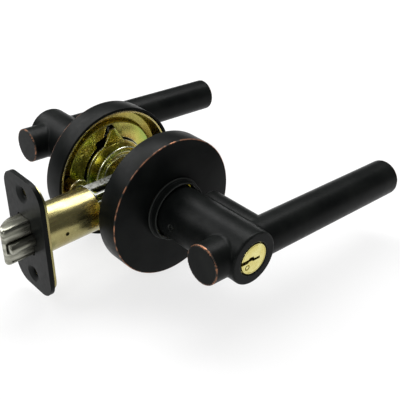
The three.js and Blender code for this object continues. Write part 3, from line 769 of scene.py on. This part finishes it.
def mounting_plate(name):
    """The pressed plate in the rosette, with its screw bosses and the notch for the ear."""
    p = PLATE
    thick = p.thick
    floor = p.groove_depth
    dish = lathe(name, [
        (p.rim, p.rim_depth, 0.3),
        (p.groove_outer + thick, floor + thick, 1.2),
        (p.groove_inner - thick, floor + thick, 1.2),
        (p.shelf_outer - thick, p.shelf_outer_depth + thick, 0.5),
        (p.hole, p.shelf_inner_depth + thick, 0.3),
        (p.hole, p.shelf_inner_depth, 0.3),
        (p.shelf_outer, p.shelf_outer_depth, 1.0),
        (p.groove_inner, floor, 0.9), (p.groove_outer, floor, 0.9),
        (p.rim - thick, p.rim_depth, 0.3),
    ], RING_STEPS)
    bosses = []
    bores = []
    for side in (-1, 1):
        boss = lathe("boss", [
            (BOSS.bore, BOSS.front, 0.4), (BOSS.radius, BOSS.front, 0.8),
            (BOSS.radius, BOSS.foot, 0), (BOSS.bore, BOSS.foot, 0),
        ], SMALL_STEPS)
        bosses.append(shifted(boss, x=side * BOSS.offset))
        above = rod("bore", BOSS.radius, BOSS.foot, ROSETTE_DEPTH)
        bores.append(shifted(above, x=side * BOSS.offset))
        bores.append(shifted(drill(BOSS.bore, BOSS.front, BOSS.foot), x=side * BOSS.offset))
    relief = rounded([
        (-RELIEF.outer, RELIEF.low, 0), (-RELIEF.inner, RELIEF.low, 0),
        (-RELIEF.inner, RELIEF.inner_top, 0), (-RELIEF.outer, RELIEF.outer_top, 0.5)])
    openings = []
    for outline in (ear_outline(NOTCH, p.hole - 2), relief):
        openings.append(prism("opening", outline, p.shelf_inner_depth - PAST, floor, 1))
    return cut(join(dish, *bosses), *bores, *openings)


def ear_outline(ear, root):
    return rounded([
        (-ear.half_width, root, 0), (ear.half_width, root, 0),
        (ear.tip_half_width, ear.tip, 0.7), (-ear.tip_half_width, ear.tip, 0.7)])


def spring_driver(name):
    d = DRIVER
    disc = lathe(name, [
        (d.bore, d.back, 0.2), (d.radius, d.back, 0.3), (d.radius, d.front, 0.3),
        (d.hub, d.front, 0.5), (d.hub, d.hub_end, 0.6), (d.step, d.hub_end, 0.3),
        (d.step, d.step_depth, 0.5), (d.bore, d.step_depth, 0.2),
    ])
    ear = prism("ear", ear_outline(EAR, d.radius - 2), d.front + 0.02, d.back - 0.02, 1)
    return join(disc, soften(ear, 0.25, 2))


def square_hole(start, end):
    half = (SPINDLE.side + SPINDLE.clearance) / 2
    return prism("square", rounded_square(half, SPINDLE.corner), start, end, 1)


def spindle_sleeve(name):
    s = SLEEVE
    body = lathe(name, [
        (0, s.end, 0), (s.radius, s.end, 0.7), (s.radius, s.reach, 0.4),
        (s.bore, s.reach, 0.2), (s.bore, s.wall_end, 0.6), (0, s.wall_end, 0),
    ])
    half_y = CATCH.height / 2 + GAP
    half_z = CATCH.width / 2 + GAP
    window = block("window", (-s.radius - PAST, CATCH.depth - half_y, -half_z),
                   (-s.bore / 2, CATCH.depth + half_y, half_z))
    return cut(body, square_hole(s.end - PAST, s.wall_end + PAST), window)


def sleeve_ring(name):
    bore = SLEEVE.radius + GAP
    start = RING.start
    end = start + RING.thick
    return lathe(name, [(bore, start, 0.2), (RING.radius, start, 0.3),
                        (RING.radius, end, 0.3), (bore, end, 0.2)])


def return_spring(name):
    """A torsion spring whose end is bent out to the driver's ear."""
    s = RETURN_SPRING
    steps = int(COIL_STEPS * s.turns)
    angle = np.linspace(2 * math.pi * s.turns, 0, steps)
    centre = s.start + s.wire / 2
    path = np.stack([
        s.radius * np.cos(angle), centre + s.pitch * angle / (2 * math.pi),
        s.radius * np.sin(angle)], axis=1)
    leg = [(s.radius + reach, centre, -reach * s.leg_slope) for reach in s.leg]
    made = wire(name, np.concatenate([path[:-1], leg]), s.wire / 2)
    return moved(made, Matrix.Rotation(-math.pi / 2, 4, "Y"))


def lever_distance(with_cylinder):
    """The lever casting: neck, bar with its stub, and web, with its bore and openings cut out."""
    v = LEVER

    def distance(x, depth, z):
        neck = rod_distance(norm(x, z), depth, v.neck, v.start, v.end, v.neck_edge)
        bar = rod_distance(norm(depth - v.bar_depth, z), x, v.bar, v.stub, v.bar_end,
                           v.bar_edge)
        web = rod_distance(norm(x - v.web_offset, z), depth, v.web, v.web_start,
                           v.bar_depth, v.bar_edge)
        body = filleted(np.minimum(web, bar), neck, v.fillet)
        across = norm(x, z)
        wall = v.end - v.front_wall
        bore_end = v.bore_end if with_cylinder else wall - 2
        bore = rod_distance(across, depth, v.bore, v.start - 5, bore_end, 0.2)
        front = rod_distance(across, depth, v.front_hole, v.bore_end, v.end + 5, 0.2)
        body = without(without(body, bore, 0.2), front, 0.35)
        if with_cylinder:
            pocket = rod_distance(across, depth, CYLINDER.radius + GAP, v.start, wall, 0.2)
            half = CYLINDER.pocket_half
            slot = box_distance(
                (x, depth, z), (-1, v.start - 5, -half),
                (CYLINDER.pocket_top, CYLINDER.chamber_end + GAP, half), 0.2)
            body = without(body, np.minimum(pocket, slot), 0.2)
        hole = rod_distance(norm(depth - CATCH.depth, z), x, CATCH.hole, -v.neck - 5,
                            -v.bore + 5, 0.2)
        return without(body, hole, 0.15)

    return distance


def lever(name):
    v = LEVER
    with_cylinder = name.startswith("outer")
    matrix = OUTER_HANDLE if with_cylinder else INNER_HANDLE
    margin = 2 * v.pitch
    lowest = (v.stub - margin, v.start - margin, -v.neck - margin)
    highest = (v.bar_end + margin, v.end + margin, v.neck + margin)
    return cast(name, lever_distance(with_cylinder), lowest, highest, v.pitch, matrix)


def lever_catch(name):
    half_y = CATCH.height / 2
    half_z = CATCH.width / 2
    face = -SLEEVE.radius + GAP
    plate = block(name, (face, CATCH.depth - half_y, -half_z),
                  (face + CATCH.thick, CATCH.depth + half_y, half_z))
    stud = lathe("stud", [
        (0, -CATCH.reach, 0), (CATCH.stud, -CATCH.reach, 0.3),
        (CATCH.stud, face + 0.5, 0), (0, face + 0.5, 0)], SMALL_STEPS)
    stud = laid(stud, y=CATCH.depth)
    return soften(join(plate, stud), 0.2, 2)


def place_side(side, fixed, turning):
    """The driver is kept level by its spring; only what hangs on it droops."""
    dress(side + "_rosette", rosette, "bronze", fixed, away_from_door)
    for node, make, material, matrix in (
        ("collar", collar, "bronze", fixed),
        ("mounting_plate", mounting_plate, "chromate", fixed),
        ("return_spring", return_spring, "spring_steel", fixed),
        ("spring_driver", spring_driver, "chromate", fixed),
        ("spindle_sleeve", spindle_sleeve, "chromate", turning),
        ("sleeve_ring", sleeve_ring, "zinc", turning),
        ("lever_catch", lever_catch, "bronze", turning),
    ):
        dress(side + "_" + node, make, material, matrix)


place_side("outer", OUTER_SIDE, OUTER_HANDLE)
place_side("inner", INNER_SIDE, INNER_HANDLE)
for node in ("outer_lever", "inner_lever"):
    dress(node, lever, "bronze", wear_and_sheen_at=bar_ends)


# ---- key cylinder ----

PLUG = Sizes(
    radius=6.3, start=31.4, head=7.1, head_start=60.3, end=61.9, ring=6.35, ring_width=0.25,
    ring_depth=0.2, keyway_start=34.3,
)
KEYWAY = [
    (-8, -0.9), (-3.4, -0.9), (-2.6, -1.5), (-0.6, -1.5), (0.2, -0.4), (3.4, -0.4),
    (3.4, 0.85), (-0.4, 0.85), (-1.2, 0.3), (-2.8, 0.3), (-3.6, 0.9), (-8, 0.9),
]
# A peened pin end shows in the plug's face, in a shallow ring beside the keyway.
PIN_END = Sizes(x=-3.6, z=2.9, radius=0.75, ring=1.35, depth=0.9)
PINS = Sizes(count=5, first=36.6, spacing=4.0, radius=1.3, hole=1.6, foot=0.9, play=0.4)
PIN_SPRING = Sizes(start=10.6, end=16.3, radius=0.95, wire=0.4, turns=3)
BAR = Sizes(width=4.4, thick=1.0, slot=2.0, play=0.3)


def bar_slot(start, end):
    """The slot that takes the flat bar of the tailpiece or the button's rod."""
    half_width = BAR.width / 2 + BAR.play
    half_thick = BAR.thick / 2 + BAR.play
    return block("slot", (-half_width, start, -half_thick), (half_width, end, half_thick))


def key_plug(name):
    p = PLUG
    ring = p.ring
    body = lathe(name, [
        (0, p.start, 0), (p.radius, p.start, 0.2), (p.radius, p.head_start, 0),
        (p.head, p.head_start, 0.1), (p.head, p.end, 0.25),
        (ring + p.ring_width, p.end, 0), (ring + p.ring_width, p.end - p.ring_depth, 0),
        (ring, p.end - p.ring_depth, 0), (ring, p.end, 0), (0, p.end, 0),
    ])
    keyway = prism("keyway", KEYWAY, p.keyway_start, p.end + PAST, 1)
    e = PIN_END
    recess = lathe("recess", [
        (e.radius, p.end - e.depth, 0), (e.ring, p.end - e.depth, 0),
        (e.ring, p.end + PAST, 0), (e.radius, p.end + PAST, 0)], SMALL_STEPS)
    tools = [keyway, shifted(recess, e.x, 0, e.z)]
    for number in range(PINS.count):
        hole = moved(rod("hole", PINS.hole, PINS.foot - PINS.play, p.radius + PAST), ALONG_X)
        tools.append(shifted(hole, y=PINS.first + PINS.spacing * number))
    tools.append(bar_slot(p.start - PAST, p.start + BAR.slot))
    return cut(body, *tools)


dress("key_plug", key_plug, "brass", OUTER_HANDLE)


# ---- turn button ----

BUTTON = Sizes(
    radius=6.9, start=58.4, end=61.6, grip_length=11.0, grip_width=3.0, grip_end=66.4,
    grip_corner=2.4, stem=3.6, stem_start=52.0, guide_bore=3.9,
)


def turn_button(name):
    b = BUTTON
    body = lathe(name, [
        (0, b.stem_start, 0), (b.stem, b.stem_start, 0.3), (b.stem, b.start, 0.3),
        (b.radius, b.start, 0.3), (b.radius, b.end, 0.6), (0, b.end, 0)])
    half = b.grip_length / 2
    outline = rounded([(-half, b.start + PAST, 0), (half, b.start + PAST, 0),
                       (half, b.grip_end, b.grip_corner),
                       (-half, b.grip_end, b.grip_corner)], 2 * CORNER_STEPS)
    grip = prism("grip", outline, -b.grip_width / 2, b.grip_width / 2, 2)
    slot = bar_slot(b.stem_start - PAST, b.stem_start + BAR.slot + GAP)
    return cut(join(body, soften(grip, 0.7)), slot)


def button_guide(name):
    start, end = low(name)[1] - INNER_PLANE, high(name)[1] - INNER_PLANE
    radius = high(name)[0]
    bore = BUTTON.guide_bore
    return lathe(name, [
        (bore, start, 0.3), (radius, start, 0.3), (radius, end, 0.3), (bore, end, 0.3)])


dress("turn_button", turn_button, "bronze", INNER_HANDLE)
dress("button_guide", button_guide, "plastic", INNER_HANDLE)


# ---- posts and screws ----

POST = Sizes(radius=3.6, bore=2.2, head=5.1, head_thick=1.0, end=-16.5, web=1.0, cone=2.2)
SCREW = Sizes(radius=1.9, head=4.0, head_thick=2.0, end=-24.0, slot=1.0, slot_depth=1.1)
THREAD = Sizes(pitch=0.8, depth=0.3, point=0.5, stop=4.0)


def post(name):
    head_back = BOSS.foot + GAP
    neck = BOSS.bore - GAP
    front = BOSS.front - GAP
    head_front = head_back + POST.head_thick
    return lathe(name, [
        (POST.bore, POST.end, 0.2), (POST.radius, POST.end, 0.4),
        (POST.radius, front, 0.3), (neck, front, 0.1), (neck, head_back, 0.1),
        (POST.head, head_back, 0.2), (POST.head, head_front, 0.3), (0, head_front, 0),
        (0, BOSS.front - POST.web, 0), (POST.bore, BOSS.front - POST.cone, 0.2),
    ], SMALL_STEPS)


def screw(name):
    """A mounting screw, threaded along the part that the post takes."""
    head_back = BOSS.foot + GAP
    top = head_back + SCREW.head_thick
    radius = SCREW.radius
    corners = [(0, SCREW.end, 0), (radius - THREAD.point, SCREW.end, 0)]
    depth = SCREW.end + THREAD.pitch
    while depth < BOSS.front - THREAD.stop:
        corners.append((radius, depth, 0))
        corners.append((radius - THREAD.depth, depth + THREAD.pitch / 2, 0))
        depth += THREAD.pitch
    corners += [
        (radius, depth, 0), (radius, head_back, 0.1), (SCREW.head, head_back, 0.2),
        (SCREW.head, top, 0.8), (0, top, 0)]
    slot = block("slot", (-SCREW.head - PAST, top - SCREW.slot_depth, -SCREW.slot / 2),
                 (SCREW.head + PAST, top + PAST, SCREW.slot / 2))
    return cut(lathe(name, corners, SMALL_STEPS), slot)


for number, side in ((1, -1), (2, 1)):
    across = Matrix.Translation((side * BOSS.offset, 0, 0))
    dress(f"outer_post_{number}", post, "chromate", OUTER_SIDE @ across)
    dress(f"mounting_screw_{number}", screw, "zinc", INNER_SIDE @ across)


# ---- spindle ----

def drive_spindle(name):
    start, end = low(name)[1], high(name)[1]
    half = SPINDLE.side / 2
    hollow = half - SPINDLE.wall
    inside = rounded_square(hollow, SPINDLE.hollow_corner)
    bar = prism(name, rounded_square(half, SPINDLE.corner), start, end, 1)
    return cut(bar, prism("hollow", inside, start - PAST, end + PAST, 1))


dress("drive_spindle", drive_spindle, "chromate", Matrix.Rotation(SPINDLE_SAG, 4, "Y"))


# ---- latch ----

FACE_FRONT = low("latch_faceplate")[0]
FACE = Sizes(corner=8.6, screw_spacing=41.28, hole=2.4, sink=4.4, sink_depth=1.5, corner_steps=12)
OPENING = Sizes(low=-3.9, high=6.3, half=9.3, corner=1.2, steps=6)
TUBE = Sizes(bore=9.8, mark_x=-47.1, mark=0.9)
BOLT = Sizes(
    low=-3.6, high=6.0, half=9.0, corner=1.9, land=2.6, bevel_foot=1.0, flange_start=-43.5,
    flange_low=-6.9, flange_half=4.0, bore=2.9, bore_y=2.0, bore_end=-60.0, pitch=0.4,
    bevel_radius=16.0, line_low=-7.3, line_width=0.6, line_depth=0.5,
)
PLUNGER = Sizes(centre=-4.4, edge=0.6, track=2.8)
CASE = Sizes(wall=0.9, post_hole=4.1, cutaway_end=-8.5, cutaway_side=0.3, cutaway_low=5.2)
HUB = Sizes(radius=6.4, reach=7.0, hole=6.9, arm_low=-0.2, arm_high=2.2, arm_half=2.0, arm_reach=7.6)
RETRACTOR = Sizes(inner=7.05, thick=0.9)


def plate_blank(node, corner):
    """A plate in the door's edge with its corners rounded."""
    lowest, highest = low(node), high(node)
    outline = rounded_box(lowest[1:], highest[1:], corner, FACE.corner_steps)
    return prism(node, outline, lowest[0], highest[0], 0)


def bolt_opening(start, end):
    o = OPENING
    outline = rounded_box((o.low, -o.half), (o.high, o.half), o.corner, o.steps)
    return prism("opening", outline, start, end, 0)


def faceplate(name):
    front, back = low(name)[0], high(name)[0]
    plate = plate_blank(name, FACE.corner)
    plunger = laid(drill(PLUNGER.track, front, back), y=PLUNGER.centre)
    holes = [bolt_opening(front - PAST, back + PAST), plunger]
    for side in (-1, 1):
        hole = lathe("hole", [
            (0, front - PAST, 0), (FACE.sink, front - PAST, 0), (FACE.sink, front, 0),
            (FACE.hole, front + FACE.sink_depth, 0), (FACE.hole, back + PAST, 0),
            (0, back + PAST, 0)], SMALL_STEPS)
        holes.append(laid(hole, z=side * FACE.screw_spacing / 2))
    return soften(cut(plate, *holes), 0.4)


def back_plate(name):
    front, back = low(name)[0], high(name)[0]
    plate = plate_blank(name, FACE.corner)
    holes = [laid(drill(high("latch_tube")[1] + GAP, front, back))]
    for side in (-1, 1):
        holes.append(laid(drill(FACE.hole, front, back), z=side * FACE.screw_spacing / 2))
    return soften(cut(plate, *holes), 0.25, 2)


def latch_tube(name):
    start, end, radius = low(name)[0], high(name)[0], high(name)[1]
    body = lathe(name, [(TUBE.bore, start, 0.2), (radius, start, 0.3), (radius, end, 0.4),
                        (TUBE.bore, end, 0.2)])
    mark = shifted(rod("mark", TUBE.mark, -radius - PAST, -TUBE.bore + PAST), x=TUBE.mark_x)
    return cut(moved(body, ALONG_X), mark)


def bolt_distance(x, y, z):
    """The bolt: flat towards -Y, where the plunger runs, and bevelled in a curve on the other side."""
    b = BOLT
    nose, end = low("latch_bolt")[0], high("latch_bolt")[0]
    body = box_distance((x, y, z), (nose, b.low, -b.half), (end, b.high, b.half),
                        b.corner)
    # The bevel is a large round from the nose's land to the bolt's far side.
    foot = FACE_FRONT - b.bevel_foot
    start = np.array((nose, b.low + b.land))
    chord = np.array((foot, b.high)) - start
    reach = np.linalg.norm(chord)
    outward = np.array((-chord[1], chord[0])) / reach
    centre = start + chord / 2 - outward * math.sqrt(b.bevel_radius ** 2 - reach ** 2 / 4)
    curve = norm(x - centre[0], y - centre[1]) - b.bevel_radius
    body = without(body, -np.minimum(curve, foot - x), 0.4)
    flange = box_distance((x, y, z), (b.flange_start, b.flange_low, -b.flange_half),
                          (end, 0, b.flange_half), 0.3)
    track = rod_distance(norm(y - PLUNGER.centre, z), x, PLUNGER.track,
                         low("deadlatch_plunger")[0] - GAP, b.flange_start, 0.2)
    hollow = rod_distance(norm(y - b.bore_y, z), x, b.bore, b.bore_end, end + 5, 0.2)
    line = box_distance((x, y, z), (nose + b.land, b.low - PAST, b.line_low),
                        (end, b.low + b.line_depth, b.line_low + b.line_width), 0.05)
    body = without(np.minimum(body, flange), line, 0.1)
    return without(without(body, track, 0.2), hollow, 0.2)


def latch_bolt(name):
    margin = 2 * BOLT.pitch
    lowest = [value - margin for value in low(name)]
    highest = [value + margin for value in high(name)]
    return cast(name, bolt_distance, lowest, highest, BOLT.pitch, Matrix.Identity(4))


def deadlatch_plunger(name):
    start, end, radius = low(name)[0], high(name)[0], high(name)[2]
    body = lathe(name, [(0, start, 0), (radius, start, PLUNGER.edge),
                        (radius, end, PLUNGER.edge), (0, end, 0)])
    return laid(body, y=PLUNGER.centre)


def latch_case(name):
    """The folded case round the hub, open for the spindle, a post and the retractor."""
    lowest, highest = low(name), high(name)
    wall = CASE.wall
    outside = block(name, lowest, highest)
    inside = block("inside", [value + wall for value in lowest], [value - wall for value in highest])
    slot_half = RETRACTOR.inner + RETRACTOR.thick + GAP
    slot = block(
        "slot", (lowest[0] - PAST, low("latch_retractor")[1] - GAP, -slot_half),
        (lowest[0] + wall + PAST, high("latch_retractor")[1] + GAP, slot_half))
    hub = drill(HUB.hole, lowest[1], highest[1])
    screws = shifted(drill(CASE.post_hole, lowest[1], highest[1]), x=-BOSS.offset)
    cutaway = block("cutaway", (lowest[0] + wall, lowest[1] - PAST, CASE.cutaway_low),
                    (CASE.cutaway_end, CASE.cutaway_side, highest[2] + PAST))
    return cut(soften(outside, 0.9, 4), inside, slot, hub, screws, cutaway)


def latch_hub(name):
    h = HUB
    body = lathe(name, [(0, -h.reach, 0), (h.radius, -h.reach, 0.5),
                        (h.radius, h.reach, 0.5), (0, h.reach, 0)], SMALL_STEPS)
    arm = block("arm", (-h.arm_reach, h.arm_low, -h.arm_half), (0, h.arm_high, h.arm_half))
    return cut(join(body, soften(arm, 0.3, 2)), square_hole(-h.reach - PAST, h.reach + PAST))


def latch_retractor(name):
    """A bent strap: a foot behind the bolt and an arm above and below the hub."""
    lowest, highest = low(name), high(name)
    inner = RETRACTOR.inner
    fork = block(name, lowest, highest)
    space = block("space", (lowest[0] + RETRACTOR.thick, lowest[1] - PAST, -inner),
                  (highest[0] + PAST, highest[1] + PAST, inner))
    return soften(cut(fork, space), 0.2, 2)


LATCH_SPRINGS = {
    "latch_bolt_spring": Sizes(centre=BOLT.bore_y, radius=2.1, wire=0.4, turns=8),
    "deadlatch_spring": Sizes(centre=PLUNGER.centre, radius=1.0, wire=0.3, turns=5),
}


def latch_spring(name):
    s = LATCH_SPRINGS[name]
    made = coil(name, s.radius, s.wire, low(name)[0], high(name)[0], s.turns)
    return laid(made, y=s.centre)


for node, make, material in (
    ("latch_faceplate", faceplate, "bronze"),
    ("latch_back_plate", back_plate, "gold_chromate"),
    ("latch_tube", latch_tube, "gold_chromate"),
    ("latch_bolt", latch_bolt, "nickel"),
    ("deadlatch_plunger", deadlatch_plunger, "nickel"),
    ("latch_case", latch_case, "zinc"),
    ("latch_hub", latch_hub, "zinc"),
    ("latch_retractor", latch_retractor, "zinc"),
    ("latch_bolt_spring", latch_spring, "spring_steel"),
    ("deadlatch_spring", latch_spring, "spring_steel"),
):
    dress(node, make, material)


# ---- pin springs, and then the pieces that keep their CAD shape ----

def pin_spring(name):
    """The number that ends its name says which hole it stands in."""
    made = coil(name, PIN_SPRING.radius, PIN_SPRING.wire, PIN_SPRING.start,
                PIN_SPRING.end, PIN_SPRING.turns)
    return laid(made, y=PINS.first + PINS.spacing * (int(name[-1]) - 1))


for number in range(PINS.count):
    dress(f"pin_spring_{number + 1}", pin_spring, "spring_steel", OUTER_HANDLE)

for node, obj in frame["nodes"].items():
    if not obj.hide_render:
        obj.data.materials.clear()
        obj.data.materials.append(MATERIALS[SLOT_OF[node]])


# ---- floor, light and camera ----

FLOOR = Sizes(size=12, roughness=0.8, glow=0.76, dark=(0.19,) * 3, light=(0.22,) * 3)
WORLD_STRENGTH = 0.16
# Each soft light: its place and size in metres, and its power in watts.
LIGHTS = {
    "behind": ((-0.36, 0.75, 0.75), (1.1, 0.5), 10),
    "above": ((0.42, 0.30, 0.92), (1.0, 0.5), 14),
    "left": ((-0.75, -0.42, 0.80), (0.4, 0.4), 2.6),
}


def floor_material():
    made = Surface("floor")
    made.set("Base Color", made.blend(made.noise(0.01, 3), FLOOR.dark, FLOOR.light))
    made.set("Roughness", FLOOR.roughness)
    made.set("Specular IOR Level", 0.0)
    made.set("Emission Color", (1, 1, 1, 1))
    made.set("Emission Strength", FLOOR.glow)
    return made.material


def make_floor():
    bpy.ops.mesh.primitive_plane_add(size=FLOOR.size, location=(0, 0, CAD_BOX[0].z))
    floor = bpy.context.object
    floor.name = "floor"
    floor.data.materials.append(floor_material())


def soft_light(name, place, size, power):
    light = bpy.data.lights.new(name, "AREA")
    light.shape = "RECTANGLE"
    light.size, light.size_y = size
    light.energy = power
    lamp = bpy.data.objects.new(name, light)
    lamp.location = place
    lamp.rotation_mode = "QUATERNION"
    lamp.rotation_quaternion = (-Vector(place)).to_track_quat("-Z", "Y")
    bpy.context.scene.collection.objects.link(lamp)


def make_world():
    world = bpy.data.worlds.new("studio")
    bpy.context.scene.world = world
    world.use_nodes = True
    background = world.node_tree.nodes["Background"]
    background.inputs["Color"].default_value = (1, 1, 1, 1)
    background.inputs["Strength"].default_value = WORLD_STRENGTH


CAMERA = Sizes(
    azimuth=-42.40, elevation=32.63, roll=0.45, distance=334.55, across=28.90, height=-6.32,
    focal=703.6, picture=400.0, sensor=36.0, clip=0.01,
)


def make_camera():
    """The camera looks at a point in the plane y = 0, and is then rolled a little."""
    c = CAMERA
    a, e, roll = (math.radians(angle) for angle in (c.azimuth, c.elevation, c.roll))
    back = Vector((math.sin(a) * math.cos(e), -math.cos(a) * math.cos(e), math.sin(e)))
    right = Vector((math.cos(a), math.sin(a), 0))
    up = back.cross(right)
    side = right * math.cos(roll) + up * math.sin(roll)
    top = up * math.cos(roll) - right * math.sin(roll)
    target = right * c.across + up * c.height
    camera = bpy.data.cameras.new("camera")
    camera.sensor_width = c.sensor
    camera.lens = c.focal / c.picture * camera.sensor_width
    camera.clip_start = c.clip
    obj = bpy.data.objects.new("camera", camera)
    turn = Matrix((side, top, back)).transposed().to_4x4()
    obj.matrix_world = Matrix.Translation((target + back * c.distance) * MM) @ turn
    bpy.context.scene.collection.objects.link(obj)
    bpy.context.scene.camera = obj


make_floor()
make_world()
for name, light in LIGHTS.items():
    soft_light(name, *light)
make_camera()
bpy.context.scene.view_settings.view_transform = "Standard"
